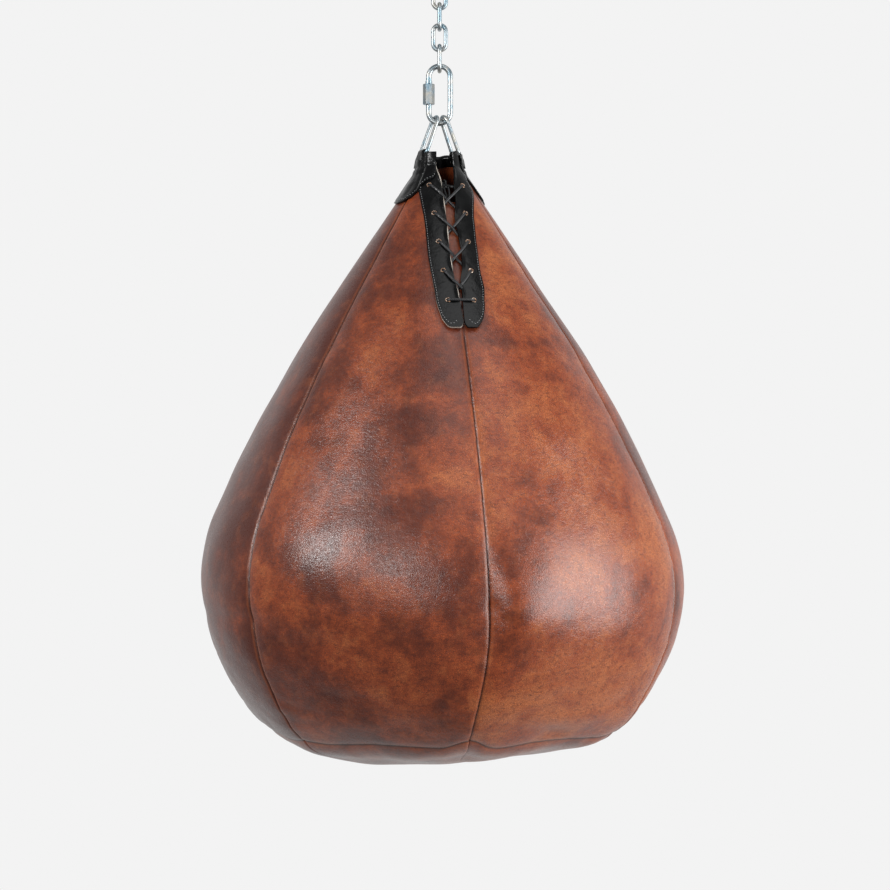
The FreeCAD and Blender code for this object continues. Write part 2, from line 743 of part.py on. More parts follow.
# ---------------------------------------------------------------- lace
def strand(side):
    """One end of the lace from the bottom bar to the knot, as (across, drop, offset).

    side is where it starts. At each crossing it dives under its own flap, comes up in the
    gap and passes over the other flap to the next eyelet. The right strand lies on top.
    """
    over = size("lace_over")
    under = -size("lace_under")
    gap = size("gap_half_width")
    lead = size("crossing_lead")
    rows = int(size("eyelet_rows"))
    places = {1: eyelet_places(1), -1: eyelet_places(-1)}
    middle = size("crossing_high") if side > 0 else size("crossing_low")
    points = [places[side][rows - 1] + (over,)]
    here = side
    for row in range(rows - 1, 0, -1):
        across, drop = places[here][row]
        crossing = size("first_row_drop") + (row - 1) * size("row_pitch") + size("crossing_drop")
        points.append((across, drop, under))
        points.append((here * (gap - size("crossing_inset")), crossing + lead, under))
        points.append((here * size("crossing_shift"), crossing, middle))
        points.append((-here * (gap + size("crossing_clearance")), crossing - lead,
                       over + size("crossing_rise")))
        here = -here
        points.append(places[here][row - 1] + (over,))
    across, drop = places[here][0]
    points.append((across, drop, under))
    points.append((here * size("tail_turn_across"), drop - size("tail_turn_rise"),
                   -size("tail_turn_depth")))
    points.append((here * size("tail_end_across"), drop - size("tail_end_rise"),
                   -size("tail_end_depth")))
    return points


def lace():
    """The whole lace as one tube: knot, one strand down, the bottom bar, the other up.

    Each bend uses up a little less than half of the shorter run beside it.
    """
    right = [closure_point(*point) for point in strand(1)]
    left = [closure_point(*point) for point in strand(-1)]
    points = list(reversed(left)) + right
    radii = []
    for before, corner, after in zip(points, points[1:], points[2:]):
        half_turn = (math.pi - (before - corner).getAngle(after - corner)) / 2
        run = min((before - corner).Length, (after - corner).Length)
        radii.append(0.45 * run / math.tan(half_turn))
    print("lace bends, mm:", " ".join("%.1f" % radius for radius in radii))
    path = rounded_path(points, [min(radius, size("lace_bend_cap")) for radius in radii])
    print("lace length, mm: %.0f" % path.Length)
    return shaped("lace", tube(path, size("lace_width")))


def lace_knot():
    """The knot that ties both ends inside the neck."""
    drop = size("first_row_drop") - size("knot_rise")
    centre = closure_point(0, drop, -size("knot_depth"))
    ball = Part.makeSphere(size("knot_radius"), centre)
    return shaped("lace_knot", ball.cut(doc.getObject("lace").Shape))


# ---------------------------------------------------------------- tabs
def tab(name, side, walls):
    """Leather strip folded over a ring's bar and sewn inside and outside the neck."""
    bar = size("ring_wire") / 2 + size("tab_clearance")
    leather = size("tab_leather")
    fold = size("tab_fold_width")
    width = size("tab_width")
    roll = Part.makeCylinder(bar + leather, fold, Vector(-fold / 2, 0, 0), Vector(1, 0, 0))
    upper = Part.makeBox(fold, 2 * (bar + leather), bar + leather,
                         Vector(-fold / 2, -(bar + leather), 0))
    arch = roll.common(upper)
    outer = Part.makeBox(width, leather, size("tab_outer_length") + bar,
                         Vector(-width / 2, bar, -size("tab_outer_length")))
    inner = Part.makeBox(fold, leather, size("tab_inner_length"),
                         Vector(-fold / 2, -(bar + leather), -size("tab_inner_length")))
    channel = Part.makeCylinder(bar, width * 2, Vector(-width, 0, 0), Vector(1, 0, 0))
    strip = arch.fuse([outer, inner]).cut(channel).removeSplitter()
    strip.Placement = tab_seat(side)
    for wall in walls:
        strip = strip.cut(wall)
    return shaped(name, largest_solid(strip))


# ---------------------------------------------------------------- the whole bag
GORES = ["gore_front_right", "gore_right", "gore_back_right",
         "gore_back_left", "gore_left", "gore_front_left"]
OPEN_GORES = ("gore_front_right", "gore_front_left")


def gores():
    """Six leather gores, the two front ones cut back for the laced slit."""
    leather = size("leather")
    slit = shaped("slit_form", slit_prism())
    made = []
    for index, name in enumerate(GORES):
        start = size("front_seam_angle") + index * size("gore_angle")
        is_open = name in OPEN_GORES
        gore = revolved(name + "_whole" if is_open else name, layer_face(-leather, 0),
                        "Sizes.gore_angle", start)
        made.append(cut(name, gore, slit) if is_open else gore)
    return made


def build():
    nodes = [swivel_frame(), swivel_washer(), swivel_eye()]
    nodes += [chain_link(index) for index in range(1, CHAIN_LINKS + 1)]
    nodes += [quick_link(), quick_link_sleeve()]
    nodes += [ring("ring_left", -1), ring("ring_right", 1)]
    nodes += gores()
    nodes.append(revolved("bottom_panel", bottom_face(), "360", 0))
    nodes.append(shaped("closure_tongue", closure_tongue()))
    nodes.append(revolved("textile_filling", filling_face(), "360", 0))
    patches = {-1: patch_shape(-1), 1: patch_shape(1)}
    skin = layer_solid(-size("leather"), 0, 0, 360)
    for word, side in (("left", -1), ("right", 1)):
        nodes.append(shaped("neck_patch_" + word, patches[side]))
        nodes.append(lacing_flap("lacing_flap_" + word, side, patches[side]))
        nodes.append(eyelet_group("eyelets_" + word, side))
        nodes.append(tab("tab_" + word, side, [skin, patches[side]]))
    nodes.append(lace())
    nodes.append(lace_knot())
    return nodes


def write(nodes):
    """Recompute, refuse anything failed or broken, then write one STEP file per node."""
    doc.recompute()
    for item in doc.Objects:
        if "Invalid" in item.State or "Error" in item.State:
            raise ValueError("%s failed: %s" % (item.Name, item.State))
    os.makedirs("parts", exist_ok=True)
    for node in nodes:
        node.Label = node.Name
        shape = node.Shape
        if shape.isNull() or not shape.isValid() or not shape.Solids:
            raise ValueError("%s has no valid solid" % node.Label)
        print("%-20s solids %d volume %.0f" % (node.Label, len(shape.Solids), shape.Volume))
    for node in nodes:
        node.Shape.exportStep("parts/%s.step" % node.Label)


write(build())
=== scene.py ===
from math import asin, cos, degrees, exp, pi, radians, sin, tau

import bmesh
import bpy
from mathutils import Matrix, Vector, noise


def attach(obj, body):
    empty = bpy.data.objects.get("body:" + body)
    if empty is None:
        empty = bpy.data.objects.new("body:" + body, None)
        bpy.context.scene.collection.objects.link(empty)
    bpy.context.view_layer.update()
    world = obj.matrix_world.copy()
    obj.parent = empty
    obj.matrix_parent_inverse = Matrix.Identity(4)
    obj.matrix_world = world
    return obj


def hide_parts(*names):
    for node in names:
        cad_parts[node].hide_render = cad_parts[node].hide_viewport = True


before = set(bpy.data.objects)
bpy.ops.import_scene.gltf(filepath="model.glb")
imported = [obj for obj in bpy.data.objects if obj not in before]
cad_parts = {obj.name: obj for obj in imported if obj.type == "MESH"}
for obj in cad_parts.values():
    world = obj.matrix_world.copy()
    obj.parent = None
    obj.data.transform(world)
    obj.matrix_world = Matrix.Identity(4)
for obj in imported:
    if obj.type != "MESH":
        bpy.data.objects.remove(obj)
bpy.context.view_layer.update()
bpy.ops.object.select_all(action="DESELECT")

# ---- Camera
# A long lens, held level in front of the bag at about the height of its shoulders.
# The bag hangs a little left of the lens's own axis.
bpy.ops.object.camera_add(location=(0.0059, -2.600, -0.574), rotation=(radians(90), 0, 0))
camera = bpy.context.object
camera.data.sensor_width = 36
camera.data.lens = 97.5
bpy.context.scene.camera = camera

# ---- Bag skin
# Six leather gores are cut to a teardrop's outline, sewn to each other inside out, turned, and
# closed at the foot by a six-cornered bottom panel. Packed full, each gore puffs out between
# its seams, the thread draws the leather in, and the foot's corners stand out.
MM = 0.001
NECK_Z = -276.85 * MM
NECK_RADIUS = 22.5 * MM
FLANK_SLOPE = radians(34)
FLANK_RUN = 190 * MM
SIDE_BENDS = ((1220 * MM, radians(11.3)), (195 * MM, radians(38.5)), (225 * MM, radians(36.3)))
SIDE_RUN = FLANK_RUN + sum(bend * turn for bend, turn in SIDE_BENDS)
GORES = 6
GORE_TURN = radians(60)
FRONT_SEAM = radians(10.4)
LEATHER = 3 * MM
COLLAR_LEAN = radians(9)


def side_outline(run):
    """Radius, height and outward slope of the bag's side at this length from its neck."""
    slope = FLANK_SLOPE
    straight = min(run, FLANK_RUN)
    radius = NECK_RADIUS + straight * sin(slope)
    height = NECK_Z - straight * cos(slope)
    rest = run - straight
    for bend, turn in SIDE_BENDS:
        if rest <= 0:
            break
        after = slope - min(rest / bend, turn)
        radius += bend * (cos(after) - cos(slope))
        height += bend * (sin(after) - sin(slope))
        slope = after
        rest -= bend * turn
    return radius, height, slope


def on_side(bearing, run, lift):
    """A point this far off the bag's smooth side. Bearing 0 faces front, and grows to the right."""
    radius, height, slope = side_outline(run)
    reach = radius + lift * cos(slope)
    return Vector((reach * sin(bearing), -reach * cos(bearing), height + lift * sin(slope)))


def above_neck(bearing, rise, lift):
    """A point of the neck's upturned collar, which leans in a little as it rises."""
    outwards = Vector((sin(bearing), -cos(bearing), 0))
    return (on_side(bearing, 0, lift) - outwards * rise * sin(COLLAR_LEAN)
            + Vector((0, 0, rise * cos(COLLAR_LEAN))))


def smooth(share):
    share = min(max(share, 0.0), 1.0)
    return share * share * (3 - 2 * share)


def past(run, start, over):
    """0 up to the start, rising to 1 over the length that follows."""
    return smooth((run - start) / over)


def bell(offset, width):
    """1 in the middle, falling away on both sides."""
    return exp(-(offset / width) ** 2)


def fading(distance, reach):
    return exp(-distance / reach)


def uneven(x, y, z):
    """A smooth wave without a pattern, from about -1 to 1, the same every time."""
    return noise.noise(Vector((x, y, z)))


# (from, over) lengths along the side, in metres from the neck
SLIT_CLOSES = (0.200, 0.03)
BAG_LEANS = (0.20, 0.20)
SHOULDER_ENDS = (0.40, 0.12)
CREASES_START = (0.45, 0.20)
FOOT_STARTS = (0.52, 0.16)
SEAMS_WANDER = (0.53, 0.17)
SEAM_WANDER = {0: radians(-2.6), 1: radians(-4.0), 5: radians(4.0)}


def seam_bearing(number, run):
    """Where a seam lies. Near the foot the front seams wander as the panels are eased in."""
    wander = SEAM_WANDER.get(number % GORES, 0.0) * past(run, *SEAMS_WANDER)
    return FRONT_SEAM + number * GORE_TURN + wander


# (x, height, half width, half height, depth) of the front's dents and swellings, in millimetres
DENTS = tuple(tuple(value * MM for value in dent) for dent in (
    (-212, -752, 40, 9, -2.6), (-150, -770, 70, 14, -1.8), (-120, -690, 60, 40, 2.0),
    (60, -780, 16, 30, 1.0), (50, -733, 7, 6, -1.8), (61, -745, 9, 6, -1.8),
    (120, -868, 18, 8, -3.2), (180, -800, 40, 26, -1.6), (-90, -852, 60, 14, 1.6),
    (150, -850, 40, 12, 1.8), (-30, -600, 70, 30, -1.2), (110, -560, 60, 36, 1.4)))
FILLED_RUN = 0.25
NECK_DRAW = 0.35
SEAM_DRAW = 1.9 * MM
DRAW_REACH = 9 * MM
SEAM_GROOVE = 1.2 * MM
FOOT_GROOVE = 2.6 * MM
GROOVE_REACH = 5 * MM
GROOVE_HALF = 1.1 * MM
THREAD_HALF = 0.8 * MM
SEAM_EDGE = 2.6 * MM
EDGE_HALF = 1.2 * MM
FOOT_EDGE = 2.2 * MM
FLAT_SHOULDER = 2.4 * MM
GORE_PUFF = 1.2 * MM
CORNER_OUT = 0.055
CORNER_FLAT = 0.014
SWELL = 9.5 * MM
SWELL_RUN = 0.527
SWELL_ABOVE = 0.050
SWELL_BELOW = 0.030
SWELL_STEP = 22 * MM
SWELL_TOP = 24 * MM
SWELL_FALL = 55 * MM
PUCKER = 0.55
FOOT_PUCKER = 1.0
PUCKER_REACH = 17 * MM
LUMP = 2.2 * MM
SMALL_LUMP = 0.9 * MM
CREASE = 0.8 * MM


def puff(across, number, run, radius, off_foot):
    """How far the skin stands off the plain outline, its painted seam shade and lip highlight."""
    near = min(across, 1 - across) * (radius * GORE_TURN)
    seam = number if across < 0.5 else number + 1
    closed = past(run, *SLIT_CLOSES) if seam % GORES == 0 else 1.0
    spread = 2 * across - 1
    full = smooth(run / FILLED_RUN)
    foot = past(run, *FOOT_STARTS)
    drawn = closed * (NECK_DRAW + (1 - NECK_DRAW) * full)
    rise = -SEAM_DRAW * fading(near, DRAW_REACH) * drawn
    rise -= SEAM_GROOVE * bell(near, GROOVE_HALF) * drawn
    rise -= FLAT_SHOULDER * full * (1 - past(run, *SHOULDER_ENDS))
    rise += GORE_PUFF * full * (1 - spread ** 4)
    # the panel at the foot has six corners, which stand out between flatter sides
    rise += radius * foot * (CORNER_OUT * spread ** 2 - CORNER_FLAT)
    # the right front gore swells out beside the front seam, at the belly
    if number == 0 and across < 0.5:
        step = near / SWELL_STEP
        swell = step / (1 + step ** 4) ** 0.25
        swell *= bell(max(near - SWELL_TOP, 0), SWELL_FALL)
        fade = SWELL_ABOVE if run < SWELL_RUN else SWELL_BELOW
        rise += SWELL * swell * bell(run - SWELL_RUN, fade)
    # puckers beside the seams, drawn by the thread
    pucker = uneven(run * 90, seam * 7.3, near * 12) * fading(near, PUCKER_REACH)
    rise += (PUCKER + FOOT_PUCKER * foot) * MM * pucker * full * closed
    # soft lumps of the filling, and the leather's own creases
    place = on_side(seam_bearing(number, run) + across * GORE_TURN, run, 0)
    rise += LUMP * full * noise.noise(place * 9.0)
    rise += SMALL_LUMP * full * noise.noise(place * 24.0 + Vector((3, 1, 4)))
    creased = 1 - abs(uneven(place.x * 14, place.y * 14, place.z * 40))
    rise -= CREASE * full * creased ** 6 * past(run, *CREASES_START)
    rise += sum(deep * exp(-((place.x - x) / wide) ** 2 - ((place.z - z) / tall) ** 2)
                for x, z, wide, tall, deep in DENTS) if place.y < 0 else 0
    # the seam round the foot
    rise -= FOOT_GROOVE * fading(off_foot, GROOVE_REACH)
    # the seams' grooves get painted shade, and the leather's lip beside them a painted highlight
    in_seam = max(bell(near, THREAD_HALF) * closed, bell(off_foot, GROOVE_HALF))
    beside = max(bell(near - SEAM_EDGE, EDGE_HALF) * closed,
                 bell(off_foot - FOOT_EDGE, GROOVE_HALF))
    return rise, in_seam, beside


HANG_ASIDE = 1.5 * MM
BELLY_ASIDE = 2.6 * MM
BELLY_RUN = 0.56
BELLY_HALF = 0.075
FOOT_LIFT = 20 * MM
SEAM_PULL = 6.5 * MM
FRONT_PULL = 17 * MM
PULL_HALF = 0.10


def lean(run):
    """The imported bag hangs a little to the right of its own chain, most at the belly."""
    aside = HANG_ASIDE * past(run, *BAG_LEANS) + BELLY_ASIDE * bell(run - BELLY_RUN, BELLY_HALF)
    return Vector((aside, 0, 0))


def foot_run(number, across):
    """Length of the side down to the seam round the foot. Each gore seam draws it up."""
    front = (number if across < 0.5 else number + 1) % GORES == 0
    pull = FRONT_PULL if front else SEAM_PULL
    return SIDE_RUN - FOOT_LIFT - pull * bell(min(across, 1 - across), PULL_HALF)


COLUMNS = 46
SIDE_STEPS = 150
PANEL_ROWS = 34
# (length down from the neck, share of the leather's thickness) up inside and over the rim
NECK_ROWS = ((0.062, -1), (0.030, -1), (0.010, -1), (0.002, -1), (-0.001, -1), (-0.006, -1),
             (-0.0115, -0.9), (-0.012, -0.5), (-0.0115, -0.1), (-0.006, 0), (-0.001, 0))
# distances from the foot's seam, in millimetres, of the close rows on its two sides
CLOSE_ROWS = (9, 6.5, 4.6, 3.2, 2.1, 1.2, 0.5, 0)
PANEL_CLOSE = (0.5, 1.2, 2.1, 3.2, 4.6, 6.5, 9, 12)
CLOSE_REACH = 12 * MM
SIDE_TOP = 0.001
SIDE_ROWS = len(NECK_ROWS) + SIDE_STEPS + 1 + len(CLOSE_ROWS)
# Each gore's tone is partly its own dye and partly painted light and shade: the left and right
# gores are made darker and the front right gore lighter, to match how the light falls on them.
GORE_DYE_AND_PAINTED_LIGHT = (0.68, 0.12, 0.40, 0.50, -0.36, 0.28)
PANEL_TONE = 0.42
PANEL_LEVEL = NECK_Z - 0.6005
PANEL_EDGE = 9.5 * MM
EDGE_REACH = 9 * MM
PANEL_DOME = 27 * MM
PANEL_RIPPLE = 2.2 * MM
PANEL_GATHER = 1.6 * MM
GATHER_REACH = 22 * MM
RIPPLE_REACH = 10 * MM
PANEL_TILT = 16 * MM
PANEL_HALF = 0.17


def skin_point(column, row):
    """One corner of the skin's net, with its shares of painted seam shade and lip highlight."""
    number, step = divmod(column, COLUMNS)
    across = 0.5 - 0.5 * cos(pi * step / COLUMNS)
    number = number % GORES
    foot = foot_run(number, across)
    thick = 0.0
    if row < len(NECK_ROWS):
        run, thick = NECK_ROWS[row]
    elif row < len(NECK_ROWS) + SIDE_STEPS + 1:
        share = (row - len(NECK_ROWS)) / SIDE_STEPS
        run = SIDE_TOP + (foot - CLOSE_REACH - SIDE_TOP) * share
    elif row < SIDE_ROWS:
        run = foot - CLOSE_ROWS[row - len(NECK_ROWS) - SIDE_STEPS - 1] * MM
    else:
        run = foot
    length = max(run, 0.0)
    radius, height, slope = side_outline(length)
    here = seam_bearing(number, length)
    bearing = here + (seam_bearing(number + 1, length) - here) * across
    rise, seam, edge = puff(across, number, length, radius, foot - length)
    if run < 0:
        return above_neck(bearing, -run, thick * LEATHER), 0, 0
    if thick < 0:
        return on_side(bearing, length, thick * LEATHER), 0, 0
    point = on_side(bearing, length, rise)
    if row < SIDE_ROWS:
        return point + lean(length), seam, edge
    # bottom panel, from its seam inwards
    index = row - SIDE_ROWS
    reach = Vector((point.x, point.y)).length
    if index < len(PANEL_CLOSE):
        inward = PANEL_CLOSE[index] * MM
    else:
        share = (index - len(PANEL_CLOSE) + 1) / PANEL_ROWS
        inward = CLOSE_REACH + (reach - CLOSE_REACH) * share
    left = max(1 - inward / reach, 0.0)
    level = PANEL_LEVEL + (point.z - PANEL_LEVEL) * left ** 3
    drop = PANEL_EDGE * (1 - fading(inward, EDGE_REACH)) + PANEL_DOME * (1 - left ** 1.7)
    ripple = uneven(point.x * left * 22, point.y * left * 22, 5.0) * PANEL_RIPPLE
    gather = uneven(bearing * 16, 3.0, 8.0) * fading(inward, GATHER_REACH)
    ripple += PANEL_GATHER * gather
    drop += ripple * (1 - fading(inward, RIPPLE_REACH)) * left ** 0.5
    drop -= PANEL_TILT * point.x * left * (1 - left) / PANEL_HALF
    # painted shade in the foot's seam, and a fainter painted highlight beside it
    seam = bell(inward, GROOVE_HALF)
    edge = bell(inward - FOOT_EDGE, GROOVE_HALF) * 0.5
    return Vector((point.x * left, point.y * left, level - drop)) + lean(length), seam, edge


def started(name, primitive, **settings):
    """A new piece that starts as this primitive, with nothing else selected."""
    bpy.ops.object.select_all(action="DESELECT")
    primitive(**settings)
    piece = bpy.context.object
    piece.name = name
    return piece


bag_skin = started("bag_skin", bpy.ops.mesh.primitive_grid_add, x_subdivisions=COLUMNS * GORES,
                   y_subdivisions=SIDE_ROWS + len(PANEL_CLOSE) + PANEL_ROWS - 1, size=1)
seam_shade_share = bag_skin.data.attributes.new("seam", "FLOAT", "POINT")
lip_highlight_share = bag_skin.data.attributes.new("seam_lip_highlight", "FLOAT", "POINT")
gore_dye_and_painted_light = bag_skin.data.attributes.new("gore_dye_and_painted_light", "FLOAT", "POINT")
for vertex in bag_skin.data.vertices:
    row, column = divmod(vertex.index, COLUMNS * GORES + 1)
    vertex.co, seam_shade_share.data[vertex.index].value, lip_highlight_share.data[vertex.index].value = \
        skin_point(column, row)
    gore_dye_and_painted_light.data[vertex.index].value = (
        GORE_DYE_AND_PAINTED_LIGHT[column // COLUMNS % GORES] if row < SIDE_ROWS else PANEL_TONE)


def only(piece):
    """This piece alone is selected, ready for the next tool."""
    bpy.ops.object.select_all(action="DESELECT")
    piece.select_set(True)
    bpy.context.view_layer.objects.active = piece


def across_front(point):
    """Distance beside the front seam, and how far the point stands out to the front."""
    across = point.x * cos(FRONT_SEAM) + point.y * sin(FRONT_SEAM)
    out = point.x * sin(FRONT_SEAM) - point.y * cos(FRONT_SEAM)
    return across, out


def on_all(piece, tool, **settings):
    """Runs a mesh tool on the whole of a piece."""
    only(piece)
    bpy.ops.object.mode_set(mode="EDIT")
    bpy.ops.mesh.select_all(action="SELECT")
    tool(**settings)
    bpy.ops.object.mode_set(mode="OBJECT")


def close_up(piece, gap):
    """Merges a piece's corners that meet, and turns its faces outwards."""
    on_all(piece, bpy.ops.mesh.remove_doubles, threshold=gap)
    on_all(piece, bpy.ops.mesh.normals_make_consistent, inside=False)


SLIT_HALF = 18 * MM
SLIT_FOOT = 158 * MM
bpy.ops.object.mode_set(mode="EDIT")
bpy.ops.mesh.select_mode(type="FACE")
bpy.ops.mesh.select_all(action="DESELECT")
bpy.ops.object.mode_set(mode="OBJECT")
for face in bag_skin.data.polygons:
    across, out = across_front(face.center)
    face.select = out > 0 and abs(across) < SLIT_HALF and face.center.z > NECK_Z - SLIT_FOOT
bpy.ops.object.mode_set(mode="EDIT")
bpy.ops.mesh.delete(type="FACE")
bpy.ops.mesh.select_mode(type="VERT")
bpy.ops.object.mode_set(mode="OBJECT")
close_up(bag_skin, 0.02 * MM)
bpy.ops.object.shade_smooth()


def connect(tree, node, values):
    """Gives a node's inputs their values, or the sockets that they read."""
    for socket, value in values.items():
        if isinstance(value, bpy.types.NodeSocket):
            tree.links.new(value, node.inputs[socket])
        elif node.inputs[socket].type == "RGBA":
            node.inputs[socket].default_value = (*value, 1.0)
        else:
            node.inputs[socket].default_value = value


def put(tree, kind, values=None, **settings):
    """A shader node with its settings and its inputs."""
    made = tree.nodes.new("ShaderNode" + kind)
    for name, value in settings.items():
        setattr(made, name, value)
    connect(tree, made, values or {})
    return made


def math_node(tree, operation, first, second=0.0, third=0.0, clamp=False):
    return put(tree, "Math", {0: first, 1: second, 2: third},
               operation=operation, use_clamp=clamp).outputs[0]


def ramp(tree, share, stops):
    """Colours along a share, as (place, colour) stops."""
    made = put(tree, "ValToRGB", {"Fac": share})
    spots = made.color_ramp.elements
    while len(spots) < len(stops):
        spots.new(1.0)
    for spot, (place, colour) in zip(spots, stops):
        spot.position = place
        spot.color = (*colour, 1.0)
    return made.outputs["Color"]


def scaled(tree, share, by, plus, clamp=False):
    return math_node(tree, "MULTIPLY_ADD", share, by, plus, clamp)


def times(tree, share, by, clamp=False):
    return math_node(tree, "MULTIPLY", share, by, clamp=clamp)


def clouds(tree, place, **values):
    return put(tree, "TexNoise", {"Vector": place, **values}).outputs["Fac"]


def blend(tree, share, first, second, kind="RGBA"):
    return put(tree, "Mix", {"Factor": share, "A": first, "B": second},
               data_type=kind).outputs["Result"]


def bump(tree, height, strength, distance):
    return put(tree, "Bump", {"Height": height, "Strength": strength,
                              "Distance": distance}).outputs["Normal"]


grain = bpy.data.node_groups.new("leather_grain", "ShaderNodeTree")
for label, way, kind in (("Place", "INPUT", "Vector"), ("Pebbles", "INPUT", "Float"),
                         ("Wrinkles", "INPUT", "Float"), ("Height", "OUTPUT", "Float"),
                         ("Pores", "OUTPUT", "Float")):
    grain.interface.new_socket(label, in_out=way, socket_type="NodeSocket" + kind)
take = grain.nodes.new("NodeGroupInput").outputs
give = grain.nodes.new("NodeGroupOutput")
wave = put(grain, "TexNoise", {"Vector": take["Place"], "Scale": 210.0, "Detail": 2.0})
drift = put(grain, "VectorMath", {0: wave.outputs["Color"], 1: (0.004, 0.004, 0.004)},
            operation="MULTIPLY")
drifted = put(grain, "VectorMath", {0: take["Place"], 1: drift.outputs[0]},
              operation="ADD").outputs[0]
cells = put(grain, "TexVoronoi", {"Vector": drifted, "Scale": take["Pebbles"],
                                  "Randomness": 1.0}, feature="DISTANCE_TO_EDGE")
pebble = times(grain, cells.outputs["Distance"], 2.6, clamp=True)
squashed = put(grain, "Mapping", {"Vector": drifted, "Scale": (1.0, 1.0, 2.4)})
fold = clouds(grain, squashed.outputs[0], Scale=take["Wrinkles"], Detail=3.0, Roughness=0.45)
fine = clouds(grain, take["Place"], Scale=1400.0, Detail=2.0)
height = scaled(grain, fine, 0.05, scaled(grain, pebble, 0.45, fold))
connect(grain, give, {"Height": height, "Pores": math_node(grain, "SUBTRACT", 1.0, pebble)})


def new_material(name):
    """A material with one Principled BSDF. Gives it, its nodes, the shader and the place."""
    material = bpy.data.materials.new(name)
    material.use_nodes = True
    tree = material.node_tree
    place = put(tree, "TexCoord").outputs["Object"]
    return material, tree, tree.nodes["Principled BSDF"], place


LEATHER_DARK = (0.070, 0.014, 0.007)
LEATHER_DEEP = (0.155, 0.030, 0.010)
LEATHER_MID = (0.305, 0.060, 0.016)
LEATHER_LIGHT = (0.470, 0.134, 0.040)
THREAD_SHADOW = (0.020, 0.006, 0.004)


def brown_leather(name, seams):
    """Antiqued chestnut leather: smoky blotches, cloudy dye, pebbled grain and fine wrinkles."""
    material, tree, shader, place = new_material(name)
    shifted = put(tree, "Mapping", {"Vector": place, "Location": (0.37, 0.0, 0.21)}).outputs[0]
    cloud = clouds(tree, shifted, Scale=5.2, Detail=3.0, Roughness=0.55, Distortion=0.5)
    smoke = clouds(tree, shifted, Scale=14.0, Detail=6.0, Roughness=0.66, Distortion=0.35)
    stain = clouds(tree, place, Scale=46.0, Detail=7.0, Roughness=0.76, Distortion=0.2)
    rub = clouds(tree, place, Scale=62.0, Detail=5.0, Roughness=0.7)
    mottle = scaled(tree, smoke, 0.50, times(tree, stain, 0.34))
    mottle = scaled(tree, cloud, 0.34, mottle)
    # each gore's dye, with painted light and shade mixed into it, shifts the mottle
    if seams:
        tone = put(tree, "Attribute", attribute_name="gore_dye_and_painted_light").outputs["Fac"]
        mottle = scaled(tree, tone, 0.16, math_node(tree, "SUBTRACT", mottle, 0.08))
    colour = ramp(tree, mottle, ((0.445, LEATHER_DARK), (0.525, LEATHER_DEEP),
                                 (0.595, LEATHER_MID), (0.70, LEATHER_LIGHT)))
    skin = put(tree, "Group", {"Place": place, "Pebbles": 600.0, "Wrinkles": 165.0},
               node_tree=grain)
    skin_height, pores = skin.outputs["Height"], skin.outputs["Pores"]
    hollow = scaled(tree, skin_height, -1.1, 0.80, clamp=True)
    pore_share = scaled(tree, pores, 0.45, hollow, clamp=True)
    colour = blend(tree, pore_share, colour, LEATHER_DARK)
    worn = scaled(tree, rub, 2.2, -1.15, clamp=True)
    colour = blend(tree, times(tree, worn, 0.42), colour, LEATHER_LIGHT)
    # painted shade darkens the seams' grooves, and a painted highlight lightens the lip beside them
    if seams:
        for label, strength, tint in (("seam_lip_highlight", 0.20, LEATHER_LIGHT),
                                      ("seam", 0.85, THREAD_SHADOW)):
            share = put(tree, "Attribute", attribute_name=label).outputs["Fac"]
            colour = blend(tree, times(tree, share, strength), colour, tint)
    shine = scaled(tree, pores, 0.12, scaled(tree, smoke, 0.22, 0.155))
    connect(tree, shader, {"Base Color": colour, "Roughness": shine, "Specular IOR Level": 0.58,
                           "Normal": bump(tree, skin_height, 0.70, 0.28 * MM)})
    return material


bag_skin.data.materials.append(brown_leather("chestnut_leather", True))
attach(bag_skin, "bag")
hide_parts("gore_front_right", "gore_right", "gore_back_right", "gore_back_left",
            "gore_left", "gore_front_left", "bottom_panel")

# ---- Filling
# Rags packed down hard through the neck. Only their crumpled top shows, down in the dark of
# the opening, grey and brown with old dye. They are loose, and held by the bag alone.
FILL_TOP = 46 * MM
FILL_RADIUS = 50 * MM
FILL_EDGE_DROP = 11 * MM
RAG_FOLD = 4.5 * MM
RAG_CRUMPLE = 2.0 * MM
RAG_DEPTH = 14 * MM


def worked(piece, kind, **settings):
    """Adds one modifier to a piece and applies it."""
    only(piece)
    step = piece.modifiers.new(kind.title(), kind)
    for name, value in settings.items():
        setattr(step, name, value)
    bpy.ops.object.modifier_apply(modifier=step.name)


bag_filling = started("packed_rags", bpy.ops.mesh.primitive_grid_add, x_subdivisions=90,
                      y_subdivisions=90, size=2)
for vertex in bag_filling.data.vertices:
    flat = Vector((vertex.co.x, vertex.co.y, 0))
    longest = max(abs(flat.x), abs(flat.y))
    if flat.length > 0:
        flat *= longest / flat.length
    spot = flat * FILL_RADIUS
    fold_high = 1 - abs(uneven(spot.x * 70, spot.y * 70, 2.0))
    crumple = RAG_FOLD * fold_high ** 3 + RAG_CRUMPLE * noise.noise(spot * 160)
    edge_drop = FILL_EDGE_DROP * flat.length ** 2.5
    vertex.co = Vector((spot.x, spot.y, NECK_Z - FILL_TOP - edge_drop - RAG_FOLD + crumple))
worked(bag_filling, "SOLIDIFY", thickness=RAG_DEPTH)
bpy.ops.object.shade_smooth()

rags, tree, shader, place = new_material("packed_rags")
patchy = put(tree, "TexVoronoi", {"Vector": place, "Scale": 45.0, "Randomness": 1.0})
weft = put(tree, "TexWave", {"Vector": place, "Scale": 420.0, "Distortion": 3.0})
cloth = ramp(tree, patchy.outputs["Distance"],
             ((0.1, (0.045, 0.030, 0.024)), (0.5, (0.095, 0.070, 0.055)),
              (0.9, (0.030, 0.028, 0.030))))
connect(tree, shader, {"Base Color": cloth, "Roughness": 0.95,
                       "Normal": bump(tree, weft.outputs["Fac"], 0.35, 0.4 * MM)})
bag_filling.data.materials.append(rags)
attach(bag_filling, "bag")
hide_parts("textile_filling")

